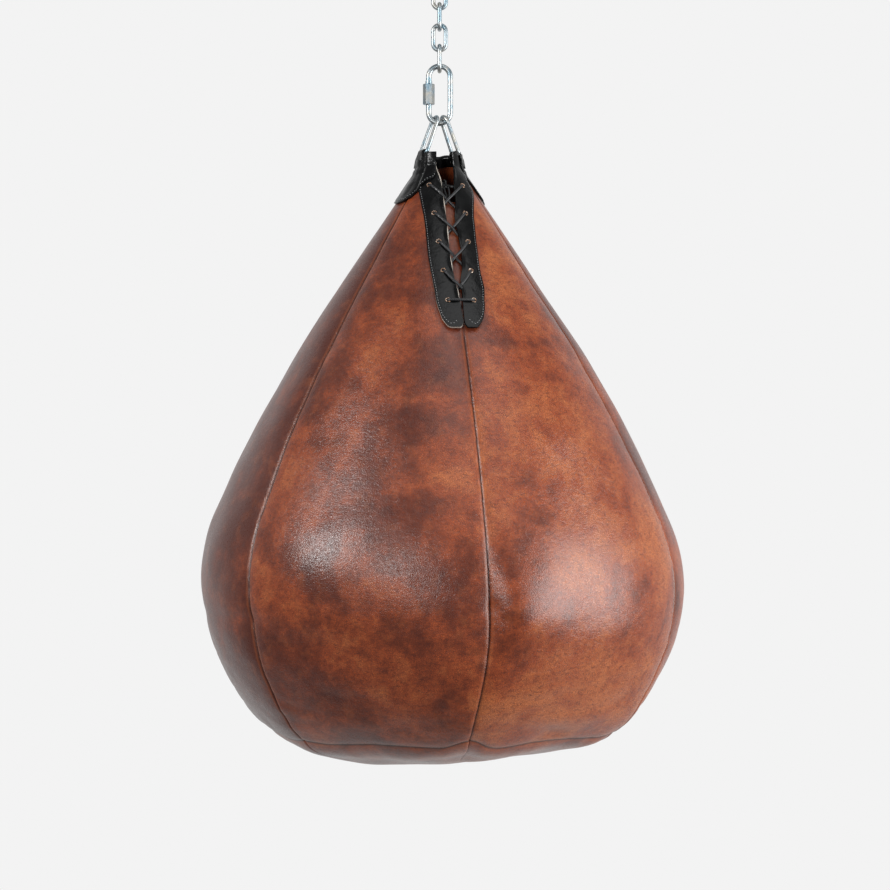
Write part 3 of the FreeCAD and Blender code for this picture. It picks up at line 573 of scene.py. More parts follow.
# ---- Closure tongue
# A strip of the bag's own leather behind the laced slit, sewn inside it down both edges. The
# filling pushes it out a little in the open middle, where it shows between the flaps.
TONGUE_HALF = 21 * MM
TONGUE_TOP = 37 * MM
TONGUE_FOOT = 165 * MM
TONGUE_LEATHER = 2 * MM
TONGUE_LIFT = -3.9 * MM
TONGUE_BULGE = 1.6 * MM
TONGUE_CREASE = 0.8 * MM
OPEN_HALF = 13 * MM


def closure(across, drop, lift):
    """A point of the laced closure: beside the front seam, below the neck, off the leather."""
    if drop < 0:
        bearing = FRONT_SEAM + asin(across / NECK_RADIUS)
        return above_neck(bearing, -drop / cos(COLLAR_LEAN), lift)
    run = drop / cos(FLANK_SLOPE)
    radius = NECK_RADIUS + run * sin(FLANK_SLOPE)
    return on_side(FRONT_SEAM + asin(across / radius), run, lift)


def leather_sheet(name, columns, rows, place, *side):
    """A net of leather, laid where place(side, share across, share down) says."""
    piece = started(name, bpy.ops.mesh.primitive_grid_add, x_subdivisions=columns,
                    y_subdivisions=rows, size=1)
    for vertex in piece.data.vertices:
        row, column = divmod(vertex.index, columns + 1)
        vertex.co = place(*side, column / columns, row / rows)
    return piece


def face_away(piece, number, away):
    """Turns an open sheet over where its face of this number doesn't look away."""
    if piece.data.polygons[number].normal.dot(away) < 0:
        on_all(piece, bpy.ops.mesh.flip_normals)


def face_outwards(piece):
    """Turns an open sheet's faces away from the bag's axis."""
    number = len(piece.data.polygons) // 2
    middle = piece.data.polygons[number].center
    face_away(piece, number, Vector((middle.x, middle.y, 0)))


def tongue_place(side_share, down_share):
    across = TONGUE_HALF * (2 * side_share - 1)
    drop = TONGUE_TOP + (TONGUE_FOOT - TONGUE_TOP) * down_share
    open_middle = max(1 - (across / OPEN_HALF) ** 2, 0.0)
    along = max(sin(pi * down_share), 0.0) ** 0.5
    crease = TONGUE_CREASE * uneven(across * 130, drop * 55, 7.0)
    return closure(across, drop, TONGUE_LIFT + TONGUE_BULGE * open_middle * along + crease * along)


tongue = leather_sheet("slit_tongue", 24, 70, tongue_place)
face_outwards(tongue)
worked(tongue, "SOLIDIFY", thickness=TONGUE_LEATHER, offset=-1)
worked(tongue, "BEVEL", width=0.4 * MM, segments=2)
bpy.ops.object.shade_smooth_by_angle(angle=radians(50))
tongue.data.materials.append(brown_leather("chestnut_leather_strip", False))
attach(tongue, "bag")
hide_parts("closure_tongue")

# ---- Lacing flaps
# Two facings of black leather, sewn to the bag down both sides of the slit with pale thread.
# The left one's cut inner edge shows its undyed core. Both are punched for five eyelets.
SIDES = ((-1, "left"), (1, "right"))
FLAP_LEATHER = 2.2 * MM
FLAP_TOP = -15 * MM
FLAP_FOOT = 178 * MM
# (drop below the neck, distance beside the front seam) down each edge, in millimetres
FLAP_INNER = {
    -1: ((-16, 7.6), (0, 7.0), (20, 4.2), (61, 3.9), (97, 4.9), (126, 4.0), (142, 1.6),
         (180, 0.7)),
    1: ((-16, 9.0), (0, 9.5), (33, 7.6), (63, 4.2), (79, 5.4), (96, 6.6), (112, 5.4),
        (130, 1.8), (180, 0.7))}
FLAP_OUTER = {
    -1: ((-16, 16.0), (0, 17.5), (12, 22.5), (30, 27.3), (63, 26.5), (102, 27.6), (146, 25.6),
         (180, 20.5)),
    1: ((-16, 16.5), (0, 18.5), (12, 24.0), (29, 29.5), (62, 25.6), (88, 24.6), (114, 24.3),
        (136, 26.2), (152, 24.4), (180, 18.5))}
OUTER_ROUND = 9.0 * MM
INNER_ROUND = 4.5 * MM
FLAP_OFF = 0.35 * MM
EYELET_ROWS = 5
FIRST_ROW = 22 * MM
ROW_PITCH = 31.9 * MM
EYELET_ACROSS = {-1: (16.6 * MM, 13.6 * MM), 1: (17.6 * MM, 13.0 * MM)}
PUNCH_RADIUS = 2.3 * MM
FREE_EDGE = 1.5 * MM
FREE_DROP = 150 * MM
LACE_PULL = 0.8
PULL_REACH = 7 * MM
CURL_DROP = 24 * MM
CURL_REACH = 8 * MM
EDGE_CURL = {-1: 2.1 * MM, 1: 1.1 * MM}
FLAP_WAVE = 0.5 * MM
BLACK_DEEP = (0.0022, 0.0024, 0.0026)
BLACK_WORN = (0.0075, 0.0078, 0.008)


def along_stops(stops, place):
    """Reads a smooth curve through (place, value) stops, all in millimetres."""
    place /= MM
    for (low, first), (high, second) in zip(stops, stops[1:]):
        if place <= high:
            share = smooth((place - low) / (high - low))
            return (first + (second - first) * share) * MM
    return stops[-1][1] * MM


def row_drop(row):
    return FIRST_ROW + row * ROW_PITCH


def eyelet_spot(side, row):
    top, bottom = EYELET_ACROSS[side]
    return side * (top + (bottom - top) * row / (EYELET_ROWS - 1)), row_drop(row)


def flap_point(side, side_share, down_share, lift=0.0):
    """A corner of a flap, from its inner to its outer edge and from its top to its foot."""
    rounding = (OUTER_ROUND * max((side_share - 0.55) / 0.45, 0.0) ** 3
                + INNER_ROUND * max((0.22 - side_share) / 0.22, 0.0) ** 2.4)
    drop = FLAP_TOP + (FLAP_FOOT - rounding - FLAP_TOP) * down_share
    inner = along_stops(FLAP_INNER[side], drop)
    outer = along_stops(FLAP_OUTER[side], drop)
    across = inner + (outer - inner) * side_share
    free = (1 - side_share) ** 2 * max(1 - drop / FREE_DROP, 0.0)
    pull = sum(bell(drop - row_drop(row), PULL_REACH) for row in range(EYELET_ROWS))
    warp = FREE_EDGE * free * (1 - LACE_PULL * pull)
    # the edge curls up wherever the lace comes out from under it
    curled = sum(bell(drop - (row_drop(row) + CURL_DROP), CURL_REACH)
                 for row in range(-1, EYELET_ROWS - 1))
    warp += EDGE_CURL[side] * curled * max(1 - side_share / 0.24, 0.0) ** 2
    warp += FLAP_WAVE * uneven(across * 60, drop * 34, 5.0 * side)
    return closure(side * across, drop, FLAP_OFF + warp + lift)


def patterned(name, kind, values, stops, rough, relief, metallic=0.0, **settings):
    """A plain material. One pattern gives its tones and its relief, and may add to its gloss."""
    material, tree, shader, place = new_material(name)
    pattern = put(tree, kind, {"Vector": place, **values}, **settings).outputs["Fac"]
    if isinstance(rough, tuple):
        rough = scaled(tree, pattern, *rough)
    connect(tree, shader, {"Base Color": ramp(tree, pattern, stops), "Roughness": rough,
                           "Metallic": metallic, "Normal": bump(tree, pattern, *relief)})
    return material


core = patterned("undyed_leather_edge", "TexNoise", {"Scale": 900.0, "Detail": 4.0},
                 ((0.35, (0.17, 0.14, 0.115)), (0.65, (0.52, 0.47, 0.41))), 0.85,
                 (0.4, 0.2 * MM))

black_leather, tree, shader, place = new_material("black_leather")
patch_tone = clouds(tree, place, Scale=34.0, Detail=4.0, Roughness=0.6)
creases = clouds(tree, place, Scale=95.0, Detail=3.0, Distortion=0.4)
black_skin = put(tree, "Group", {"Place": place, "Pebbles": 620.0, "Wrinkles": 150.0},
                 node_tree=grain)
black_colour = ramp(tree, patch_tone, ((0.36, BLACK_DEEP), (0.70, BLACK_WORN)))
black_pores = times(tree, black_skin.outputs["Pores"], 0.35)
black_height = scaled(tree, black_skin.outputs["Height"], 0.16, creases)
connect(tree, shader, {
    "Base Color": blend(tree, black_pores, black_colour, BLACK_DEEP),
    "Roughness": scaled(tree, patch_tone, 0.30, 0.08),
    "Specular IOR Level": 0.25, "Normal": bump(tree, black_height, 0.48, 1.2 * MM)})


def joined(name, pieces):
    """Joins like pieces into the first of them."""
    only(pieces[0])
    for piece in pieces:
        piece.select_set(True)
    bpy.ops.object.join()
    pieces[0].name = name
    return pieces[0]


def break_edges(piece, width):
    """Takes the sharpness off a sheet's cut edges, and shades the rest smooth."""
    worked(piece, "BEVEL", width=width, segments=2, limit_method="ANGLE", angle_limit=radians(50))
    bpy.ops.object.shade_smooth_by_angle(angle=radians(45))


for side, word in SIDES:
    flap = leather_sheet("facing_" + word, 22, 110, flap_point, side)
    face_outwards(flap)
    flap.data.materials.append(black_leather)
    flap.data.materials.append(core if side < 0 else black_leather)
    worked(flap, "SOLIDIFY", thickness=FLAP_LEATHER, offset=1, material_offset_rim=1)
    punches = []
    for row in range(EYELET_ROWS):
        across, drop = eyelet_spot(side, row)
        low, high = closure(across, drop, -3 * MM), closure(across, drop, 6 * MM)
        punches.append(started(
            "punch", bpy.ops.mesh.primitive_cylinder_add, vertices=24, radius=PUNCH_RADIUS,
            depth=(high - low).length, location=(low + high) / 2,
            rotation=(high - low).to_track_quat("Z", "Y").to_euler()))
    punch = joined("punch", punches)
    worked(flap, "BOOLEAN", operation="DIFFERENCE", solver="EXACT", object=punch)
    only(punch)
    bpy.ops.object.delete()
    break_edges(flap, 0.45 * MM)
    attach(flap, "bag")
    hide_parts("lacing_flap_" + word)

# ---- Neck patches
# A shield of black leather under each ring, wrapped round the neck and over the flap's edge.
# It is sewn down along its lower edge, and its middle rises over the foot of the ring's tab.
PATCH_LEATHER = 1.8 * MM
PATCH_TURN = {-1: radians(-65), 1: radians(115)}
PATCH_SPREAD = {(-1, -1): radians(52), (-1, 1): radians(57.5), (1, -1): radians(46),
                (1, 1): radians(52)}
# (degrees round from the middle, depth in millimetres) of the lower edge
PATCH_DEPTHS = ((0, 39.5), (12, 38.5), (22, 35), (31, 29.5), (36, 26), (40, 17), (47, 6.5),
                (52, 0.5))
FRONT_DEPTHS = PATCH_DEPTHS[:3] + ((31, 29), (37, 22.5), (43, 18), (50, 16.5), (55, 15),
                                   (57.5, 9))
PATCH_RISE = 7.5 * MM
RISE_TURN = radians(34)
PATCH_EAR = 14 * MM
EAR_STARTS = (radians(16), radians(9))
FLAP_TURN = radians(46)
TURN_FADE = radians(7)
PATCH_OFF = 0.4 * MM
COLLAR_STAND = 1.4 * MM
COLLAR_END = 10 * MM
COLLAR_END_FADE = 5 * MM
EAR_STAND = 1.3 * MM
FLAP_SUNK = 0.9 * MM
PATCH_WAVE = 0.35 * MM


def patch_depth(side, turn):
    """Depth of a patch at this turn from its middle. The left one runs on over its flap's top."""
    stops = FRONT_DEPTHS if side < 0 < turn else PATCH_DEPTHS
    return along_stops(stops, degrees(abs(turn)) * MM)


def patch_point(side, side_share, down_share, lift=0.0):
    """A corner of a patch, from its left to its right end and from its top to its foot."""
    way = 1 if side_share > 0.5 else -1
    turn = PATCH_SPREAD[side, way] * (2 * side_share - 1)
    bearing = PATCH_TURN[side] + turn
    rise = PATCH_RISE * smooth(1 - abs(turn) / RISE_TURN)
    rise += (PATCH_EAR - rise) * past(-side * turn, *EAR_STARTS)
    foot = patch_depth(side, turn) / cos(FLANK_SLOPE)
    run = -rise + (foot + rise) * down_share
    # over the flap's edge the patch stands off by the flap's own thickness
    off_front = abs((bearing - FRONT_SEAM + pi) % tau - pi)
    over_flap = smooth((FLAP_TURN - off_front) / TURN_FADE)
    on_collar = smooth((COLLAR_END - run) / COLLAR_END_FADE)
    stand = PATCH_OFF + COLLAR_STAND * max(on_collar, over_flap)
    stand += (FLAP_LEATHER - FLAP_SUNK) * over_flap + lift
    stand += PATCH_WAVE * uneven(turn * 6, run * 60, 3.0 * side)
    if run >= 0:
        return on_side(bearing, run, stand)
    return above_neck(bearing, -run, stand + EAR_STAND * smooth(-run / (3 * MM)))


for side, word in SIDES:
    patch = leather_sheet("shield_" + word, 64, 22, patch_point, side)
    face_outwards(patch)
    patch.data.materials.append(black_leather)
    worked(patch, "SOLIDIFY", thickness=PATCH_LEATHER, offset=1)
    break_edges(patch, 0.4 * MM)
    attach(patch, "bag")
    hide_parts("neck_patch_" + word)

# ---- Neck collar
# The neck is turned up into a short collar under the rings, faced with black leather that is
# folded over its rim and sewn inside and outside. It runs from one flap round to the other.
COLLAR_COLUMNS = 130
COLLAR_LEATHER = 1.3 * MM
COLLAR_RISE = 15.5 * MM
COLLAR_FOOT = 6 * MM
COLLAR_INSIDE = 8.5 * MM
COLLAR_START = radians(30)
COLLAR_SWEEP = radians(300)
COLLAR_OFF = 0.3 * MM
COLLAR_DIP = 1.2 * MM
COLLAR_LOW = 0.8 * MM
COLLAR_WAVE = 0.7 * MM


def collar_point(side_share, down_share):
    """Round the neck, and from the collar's foot outside up over its rim and down inside."""
    bearing = FRONT_SEAM + COLLAR_START + side_share * COLLAR_SWEEP
    out, inside = COLLAR_OFF, -LEATHER - COLLAR_OFF
    middle, half = (out + inside) / 2, (out - inside) / 2
    dip = COLLAR_DIP * uneven(bearing * 1.7, 0, 4) - COLLAR_LOW
    rise = COLLAR_RISE + dip
    arch = pi * half
    run = (COLLAR_FOOT + rise + arch + COLLAR_INSIDE) * down_share
    wave = COLLAR_WAVE * uneven(bearing * 4, run * 60, 9)
    if run < COLLAR_FOOT:
        return on_side(bearing, COLLAR_FOOT - run, out + wave)
    run -= COLLAR_FOOT
    if run < rise:
        return above_neck(bearing, run, out + wave)
    run -= rise
    if run < arch:
        over = run / half
        return above_neck(bearing, rise + half * sin(over), middle + half * cos(over) + wave)
    return above_neck(bearing, rise - (run - arch), inside + wave)


collar = leather_sheet("neck_collar", COLLAR_COLUMNS, 30, collar_point)
face_away(collar, 5 * COLLAR_COLUMNS + COLLAR_COLUMNS // 2,
          Vector((-sin(FRONT_SEAM), cos(FRONT_SEAM), 0)))
worked(collar, "SOLIDIFY", thickness=COLLAR_LEATHER, offset=1)
break_edges(collar, 0.3 * MM)
collar.data.materials.append(black_leather)
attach(collar, "bag")

# ---- Tabs
# A strap of black leather folded over each ring's straight bar. It is wide where it is sewn
# outside the neck and narrower at the fold, and its inner end goes down inside the neck.
TAB_COLUMNS = 14
TAB_LEATHER = 2.0 * MM
TAB_ROLL = 3.3 * MM
TAB_WIDE = 18 * MM
TAB_NARROW = 10.5 * MM
TAB_WIDENS = 9 * MM
TAB_OUTER = 17 * MM
TAB_INNER = 26 * MM
TAB_INWARD = 0.6 * MM
TAB_WAVE = 0.25 * MM
TAB_TILT = radians(12)
RING_BAR = {-1: Vector((-17.476, -5.538, -260.154)) * MM,
            1: Vector((17.476, 5.538, -260.154)) * MM}


def tab_frame(side):
    """Where a tab's fold lies: X along the bar, Y away from the other patch, Z up the strap."""
    return (Matrix.Translation(RING_BAR[side]) @ Matrix.Rotation(PATCH_TURN[-side], 4, "Z")
            @ Matrix.Rotation(TAB_TILT, 4, "X"))


def tab_point(side, side_share, down_share):
    """Along the strap from its outer end up, over the bar, and down to its inner end."""
    half_turn = pi * TAB_ROLL
    length = TAB_OUTER + half_turn + TAB_INNER
    run = length * down_share
    width = TAB_NARROW
    if run < TAB_OUTER:
        out, up = TAB_ROLL, run - TAB_OUTER
        width += (TAB_WIDE - TAB_NARROW) * smooth(-up / TAB_WIDENS)
    elif run < TAB_OUTER + half_turn:
        over = (run - TAB_OUTER) / TAB_ROLL
        out, up = TAB_ROLL * cos(over), TAB_ROLL * sin(over)
    else:
        out, up = -TAB_ROLL, TAB_OUTER + half_turn - run
        out += TAB_INWARD * smooth(-up / (12 * MM))
    across = (side_share - 0.5) * width
    out += TAB_WAVE * uneven(across * 150, up * 90, side)
    return tab_frame(side) @ Vector((across, out, up))


for side, word in SIDES:
    tab = leather_sheet("strap_" + word, TAB_COLUMNS, 60, tab_point, side)
    face_away(tab, TAB_COLUMNS // 2, tab_frame(side).to_3x3() @ Vector((0, 1, 0)))
    tab.data.materials.append(black_leather)
    tab.data.materials.append(core)
    worked(tab, "SOLIDIFY", thickness=TAB_LEATHER, offset=0)
    break_edges(tab, 0.35 * MM)
    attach(tab, "bag")
    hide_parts("tab_" + word)

# ---- Stitching
# Pale waxed thread, one lock stitch at a time. It runs down the flaps' outer edges and round
# their feet, and along the patches' lower edges.
STITCH = 2.1 * MM
STITCH_PITCH = 3.3 * MM
THREAD = 0.32 * MM
THREAD_LIFT = 0.05 * MM
FLAP_INSET = 0.925
PATCH_INSET = 0.93

thread_grey = patterned("pale_thread", "TexWave", {"Scale": 700.0, "Distortion": 2.0},
                        ((0.2, (0.12, 0.123, 0.126)), (0.8, (0.30, 0.305, 0.31))), 0.7,
                        (0.3, 0.1 * MM))


def sew(name, lines):
    """Stitches laid along lines of (place, outward) pairs, as one piece."""
    stitch = started(name, bpy.ops.mesh.primitive_uv_sphere_add, segments=6, ring_count=4, radius=1)
    form = bmesh.new()
    form.from_mesh(stitch.data)
    sewn = bmesh.new()
    for line in lines:
        travelled, wanted = 0.0, STITCH_PITCH / 2
        for (here, out), (ahead, _) in zip(line, line[1:]):
            step = (ahead - here).length
            while step > 0 and travelled + step >= wanted:
                spot = here.lerp(ahead, (wanted - travelled) / step)
                along = (ahead - here).normalized()
                aside = along.cross(out).normalized()
                turn = Matrix((along, aside, along.cross(aside))).transposed().to_4x4()
                size = Matrix.Diagonal((STITCH / 2, THREAD, THREAD * 0.8, 1))
                whole = Matrix.Translation(spot) @ turn @ size
                made = [sewn.verts.new(whole @ vertex.co) for vertex in form.verts]
                for face in form.faces:
                    sewn.faces.new([made[vertex.index] for vertex in face.verts])
                wanted += STITCH_PITCH
            travelled += step
    sewn.to_mesh(stitch.data)
    form.free()
    sewn.free()
    close_up(stitch, 0.001 * MM)
    bpy.ops.object.shade_smooth()
    stitch.data.materials.append(thread_grey)
    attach(stitch, "bag")


def seam_line(points):
    """Points along a seam, each with the way out from the bag's flank."""
    up = Vector((0, 0, sin(FLANK_SLOPE)))
    return [(point, Vector((point.x, point.y, 0)).normalized() * cos(FLANK_SLOPE) + up)
            for point in points]


seam_lines = []
for side, word in SIDES:
    top = FLAP_LEATHER + THREAD_LIFT
    line = [flap_point(side, FLAP_INSET, 0.12 + 0.84 * step / 90, top) for step in range(91)]
    line += [flap_point(side, FLAP_INSET - 0.66 * step / 14, 0.96 + 0.02 * sin(pi * step / 14),
                        top) for step in range(1, 15)]
    seam_lines.append(seam_line(line))
    seam_lines.append(seam_line(
        patch_point(side, 0.01 + 0.98 * step / 120, PATCH_INSET, PATCH_LEATHER + THREAD_LIFT)
        for step in range(121)))
sew("edge_stitches", seam_lines)

# ---- Eyelets
# Ten small rolled eyelets, coppery where the plating is rubbed. Each is a barrel through the
# flap, turned over on its face into a round-shouldered rim.
EYELET_SEGMENTS = 32
# (radius, height) round a section: up the bore, over the rim, down outside and back inside
EYELET_PROFILE = ((1.75, -2.4), (1.75, -0.1), (1.85, 0.35), (2.1, 0.62), (2.45, 0.70),
                  (2.8, 0.55), (3.0, 0.15), (2.95, -0.1), (2.2, -0.1), (2.2, -2.4))
EYELET_LIFT = 0.5 * MM


def rolled_eyelet():
    """An eyelet drawn out of one circle: each step moves its edge up or down and widens it."""
    radius, height = EYELET_PROFILE[0]
    piece = started("eyelet", bpy.ops.mesh.primitive_circle_add, vertices=EYELET_SEGMENTS,
                    radius=radius * MM, location=(0, 0, height * MM))
    bpy.ops.object.transform_apply(location=True, rotation=False, scale=False)
    bpy.ops.object.mode_set(mode="EDIT")
    bpy.ops.mesh.select_all(action="SELECT")
    for wide, high in EYELET_PROFILE[1:] + EYELET_PROFILE[:1]:
        bpy.ops.mesh.extrude_edges_move(
            TRANSFORM_OT_translate={"value": (0, 0, (high - height) * MM)})
        bpy.ops.transform.resize(value=(wide / radius, wide / radius, 1),
                                 center_override=(0, 0, high * MM))
        radius, height = wide, high
    bpy.ops.object.mode_set(mode="OBJECT")
    close_up(piece, 0.01 * MM)
    bpy.ops.object.shade_smooth_by_angle(angle=radians(50))
    return piece


eyelet_metal = patterned("rubbed_brass_eyelet", "TexNoise", {"Scale": 520.0, "Detail": 4.0},
                         ((0.38, (0.10, 0.065, 0.05)), (0.52, (0.34, 0.20, 0.13)),
                          (0.66, (0.66, 0.54, 0.45))), (0.35, 0.16), (0.25, 0.08 * MM), 1.0)

for side, word in SIDES:
    rims = []
    for row in range(EYELET_ROWS):
        eyelet = rolled_eyelet()
        across, drop = eyelet_spot(side, row)
        seat = closure(across, drop, FLAP_LEATHER + EYELET_LIFT)
        facing = (closure(across, drop, 5 * MM) - closure(across, drop, 0)).normalized()
        eyelet.data.transform(Matrix.Translation(seat)
                              @ facing.to_track_quat("Z", "Y").to_matrix().to_4x4())
        rims.append(eyelet)
    joined("rolled_eyelets_" + word, rims)
    rims[0].data.materials.append(eyelet_metal)
    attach(rims[0], "bag")
    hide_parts("eyelets_" + word)

# ---- Lace
# One round waxed lace, 510 mm long. It crosses the lowest eyelets in a bar, then each end goes
# under its own flap, up through the gap and over to the other side's next eyelet, to the neck.
LACE_RADIUS = 1.45 * MM
LACE_OVER = 4.3 * MM
LACE_UNDER = -0.9 * MM
CROSSING_DROP = 17 * MM
CROSSING_HALF = 6.5 * MM
CROSSING_RISE = 5.5 * MM
CROSSING_LIFT = {-1: 0.2 * MM, 1: 3.2 * MM}


def lace_strand(side):
    """One end of the lace, from the lowest bar up to the neck, as (across, drop, lift)."""
    points = [(side * 4 * MM, row_drop(EYELET_ROWS - 1) + 0.6 * MM, LACE_OVER)]
    here = side
    for row in range(EYELET_ROWS - 1, -1, -1):
        across, drop = eyelet_spot(here, row)
        points += [(across - here * 0.6 * MM, drop + (0.4 * MM if row else 0), LACE_OVER),
                   (across, drop - 0.4 * MM, LACE_UNDER)]
        if row == 0:
            break
        crossing = row_drop(row - 1) + CROSSING_DROP
        points += [(here * CROSSING_HALF, crossing + CROSSING_RISE, LACE_UNDER),
                   (here * 0.4 * MM, crossing, CROSSING_LIFT[side]),
                   (-here * CROSSING_HALF, crossing - CROSSING_RISE, LACE_OVER + 0.9 * MM)]
        here = -here
    return points + [(here * 9.5 * MM, FIRST_ROW - 1.5 * MM, -2.8 * MM),
                     (here * 4.5 * MM, FIRST_ROW - 4.5 * MM, -6.0 * MM),
                     (here * 1.5 * MM, FIRST_ROW - 6.5 * MM, -8.0 * MM)]


def round_lace(name, points, order=3, cyclic=False):
    """A smooth length of lace through control points, as a mesh."""
    curve = bpy.data.curves.new(name, "CURVE")
    curve.dimensions = "3D"
    spline = curve.splines.new("NURBS")
    spline.points.add(len(points) - 1)
    for knot, point in zip(spline.points, points):
        knot.co = (*point, 1)
    spline.order_u = order
    spline.use_endpoint_u = not cyclic
    spline.use_cyclic_u = cyclic
    spline.resolution_u = 7
    curve.bevel_depth = LACE_RADIUS
    curve.bevel_resolution = 4
    curve.use_fill_caps = True
    cord = bpy.data.objects.new(name, curve)
    bpy.context.collection.objects.link(cord)
    only(cord)
    bpy.ops.object.convert(target="MESH")
    bpy.ops.object.shade_smooth()
    return bpy.context.object


waxed_lace = patterned(
    "waxed_black_lace", "TexWave", {"Scale": 260.0, "Distortion": 4.0, "Detail": 2.0},
    ((0.15, (0.008, 0.008, 0.009)), (0.85, (0.030, 0.031, 0.033))), (0.2, 0.28),
    (0.5, 0.25 * MM), bands_direction="DIAGONAL")

strands = lace_strand(-1)[::-1] + lace_strand(1)
waxed = round_lace("waxed_lace", [closure(*point) for point in strands])
waxed.data.materials.append(waxed_lace)
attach(waxed, "bag")
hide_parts("lace")

# ---- Knot and tails
# The lace's two ends are tied in a small tight knot in the mouth of the slit. The loops and
# cut tails are tucked down inside the neck.
KNOT_ACROSS = 0.5 * MM
KNOT_DROP = 15 * MM
KNOT_LIFT = -8.5 * MM
KNOT_SIZE = 1.7 * MM
KNOT_POINTS = 18
# (across, drop, lift) along each tail, in millimetres
TAILS = (((2.0, 14.0, -8.0), (5.5, 19.0, -6.0), (6.5, 27.0, -8.0), (4.0, 34.0, -13.0),
          (3.0, 40.0, -16.0)),
         ((-1.0, 15.0, -8.0), (-1.5, 21.0, -5.5), (0.5, 28.0, -6.0), (3.0, 31.0, -9.5),
          (2.0, 26.0, -12.0), (-3.0, 24.0, -13.0), (-6.0, 31.0, -15.0), (-5.0, 38.0, -17.0)))


def knot_point(turn):
    """A trefoil's turn, flattened against the slit."""
    across = sin(turn) + 2 * sin(2 * turn)
    drop = cos(turn) - 2 * cos(2 * turn)
    return closure(KNOT_ACROSS + KNOT_SIZE * across, KNOT_DROP + KNOT_SIZE * drop,
                   KNOT_LIFT - 1.1 * KNOT_SIZE * sin(3 * turn))


trefoil = round_lace("lace_tie", [knot_point(tau * step / KNOT_POINTS)
                                  for step in range(KNOT_POINTS)], 4, True)
tails = [round_lace("lace_tail", [closure(*(value * MM for value in point)) for point in tail],
                    4) for tail in TAILS]
trefoil = joined("lace_tie", [trefoil] + tails)
trefoil.data.materials.append(waxed_lace)
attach(trefoil, "bag")
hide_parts("lace_knot")

# ---- Rings, quick link, chain and swivel
# Bent and welded steel wire, a forged swivel and a hexagonal sleeve, all bright zinc plated
# with a blue passivation. The plating is cloudy, and dulled in spots by handling.
ZINC_BLUE = (0.23, 0.32, 0.37)
ZINC_GREY = (0.38, 0.42, 0.44)
ZINC_STRAW = (0.46, 0.45, 0.41)
ZINC_DULL = (0.20, 0.25, 0.28)
SLEEVE_BLUE = (0.24, 0.37, 0.46)
FORGED_GREY = (0.30, 0.37, 0.42)


def zinc(name, tone, dull):
    """Bright zinc plate: bluish and straw clouds, fine specks and dull handled spots."""
    material, tree, shader, place = new_material(name)
    stains = clouds(tree, place, Scale=85.0, Detail=3.0, Distortion=0.6)
    specks = clouds(tree, place, Scale=620.0, Detail=5.0, Roughness=0.7)
    colour = ramp(tree, stains, ((0.36, tone), (0.52, ZINC_GREY), (0.68, ZINC_STRAW)))
    spots = scaled(tree, specks, 4.0, -2.2, clamp=True)
    colour = blend(tree, times(tree, spots, dull), colour, ZINC_DULL)
    rough = scaled(tree, stains, 0.12, scaled(tree, specks, 0.30, 0.20))
    connect(tree, shader, {"Base Color": colour, "Metallic": 1.0, "Roughness": rough,
                           "Normal": bump(tree, specks, 0.45, 0.12 * MM)})
    return material


wires = ["quick_link", "ring_left", "ring_right"]
wires += ["chain_link_%d" % link for link in range(1, 6)]
for name, tone, dull, fittings in (
        ("zinc_plated_wire", ZINC_BLUE, 0.45, wires),
        ("zinc_plated_sleeve", SLEEVE_BLUE, 0.65, ["quick_link_sleeve"]),
        ("zinc_plated_forging", FORGED_GREY, 0.60,
         ["swivel_frame", "swivel_washer", "swivel_eye"])):
    plating = zinc(name, tone, dull)
    for fitting in fittings:
        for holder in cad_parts[fitting].material_slots:
            holder.material = plating

# ---- Light and backdrop
# A soft box stands to the left and a broad one to the right, with a small one in front and one
# above. Behind is an even, nearly white backdrop; the room behind the lens is darker, which
# gives the metal its streaks.
BACKDROP = 0.896
ROOM_LIGHT = 0.16
ROOM_MIRRORED = 0.17
FLOOR_MIRRORED = 0.85
FLOOR_BOUNCE = 0.45
BAG_MIDDLE = -0.60


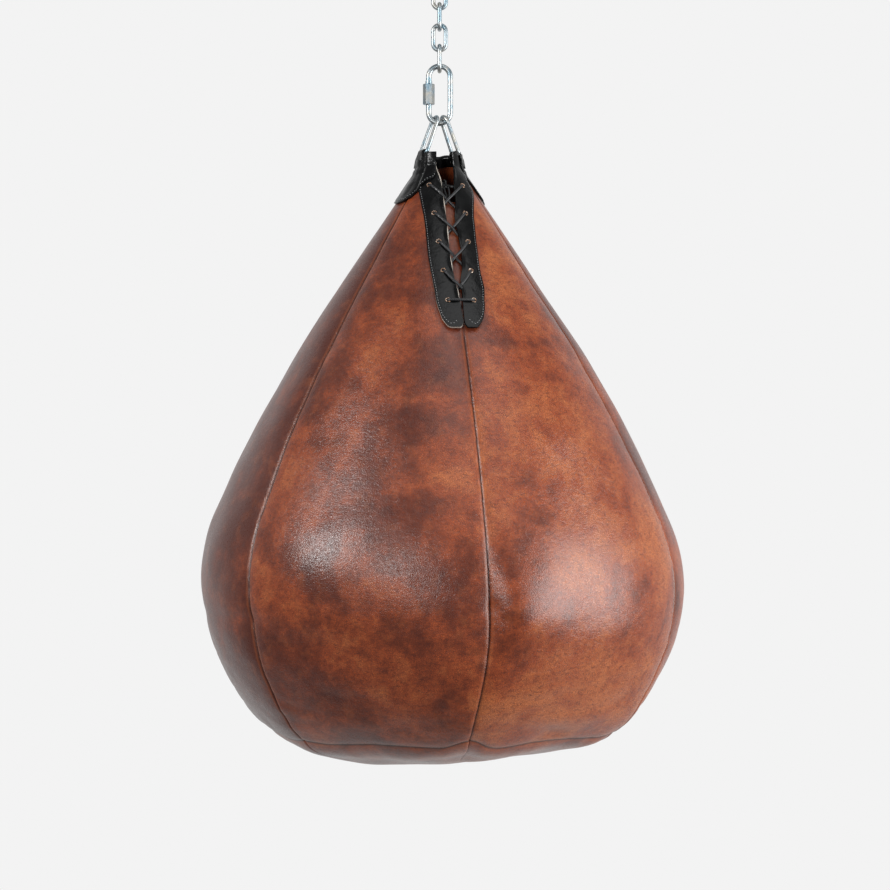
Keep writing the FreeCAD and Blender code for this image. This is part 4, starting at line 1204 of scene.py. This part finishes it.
def soft_box(name, azimuth, elevation, distance, wide, tall, power):
    """An area lamp aimed at the bag's middle. Azimuth 0 is in front, and grows to the right."""
    turn, lift = radians(azimuth), radians(elevation)
    away = Vector((sin(turn) * cos(lift), -cos(turn) * cos(lift), sin(lift)))
    bpy.ops.object.light_add(type="AREA", location=Vector((0, 0, BAG_MIDDLE)) + away * distance,
                             rotation=away.to_track_quat("Z", "Y").to_euler())
    lamp = bpy.context.object
    lamp.name = name
    lamp.data.shape = "RECTANGLE"
    lamp.data.size = wide
    lamp.data.size_y = tall
    lamp.data.energy = power
    lamp.visible_camera = False


soft_box("left_soft_box", -55, 24, 2.2, 0.60, 0.60, 29)
soft_box("right_soft_box", 67, 2, 2.2, 1.5, 1.8, 66)
soft_box("front_soft_box", -17, 9, 2.4, 0.40, 0.5, 17)
soft_box("top_soft_box", 30, 60, 2.4, 1.5, 1.5, 12)


def soft_step(tree, value, start, end, low=0.0, high=1.0):
    """A level that changes softly while the value goes from start to end."""
    return put(tree, "MapRange", {"Value": value, "From Min": start, "From Max": end,
                                  "To Min": low, "To Max": high},
               interpolation_type="SMOOTHSTEP").outputs["Result"]


world = bpy.data.worlds.new("studio")
bpy.context.scene.world = world
world.use_nodes = True
tree = world.node_tree
direction = put(tree, "TexCoord").outputs["Generated"]
ways = put(tree, "SeparateXYZ", {"Vector": direction}).outputs
behind = soft_step(tree, ways["Y"], 0.15, 1.0, ROOM_MIRRORED, BACKDROP)
below = soft_step(tree, ways["Z"], -0.25, -0.80, 0.0, FLOOR_MIRRORED)
below = times(tree, below, soft_step(tree, ways["Y"], -0.45, 0.25))
path = put(tree, "LightPath").outputs
seen = math_node(tree, "MAXIMUM", path["Is Camera Ray"], path["Is Transmission Ray"])
level = blend(tree, path["Is Glossy Ray"], scaled(tree, below, FLOOR_BOUNCE, ROOM_LIGHT),
              math_node(tree, "MAXIMUM", behind, below), "FLOAT")
level = blend(tree, seen, level, BACKDROP, "FLOAT")
connect(tree, tree.nodes["Background"], {"Strength": level, "Color": (1, 1, 1)})
bpy.context.scene.view_settings.view_transform = "Standard"
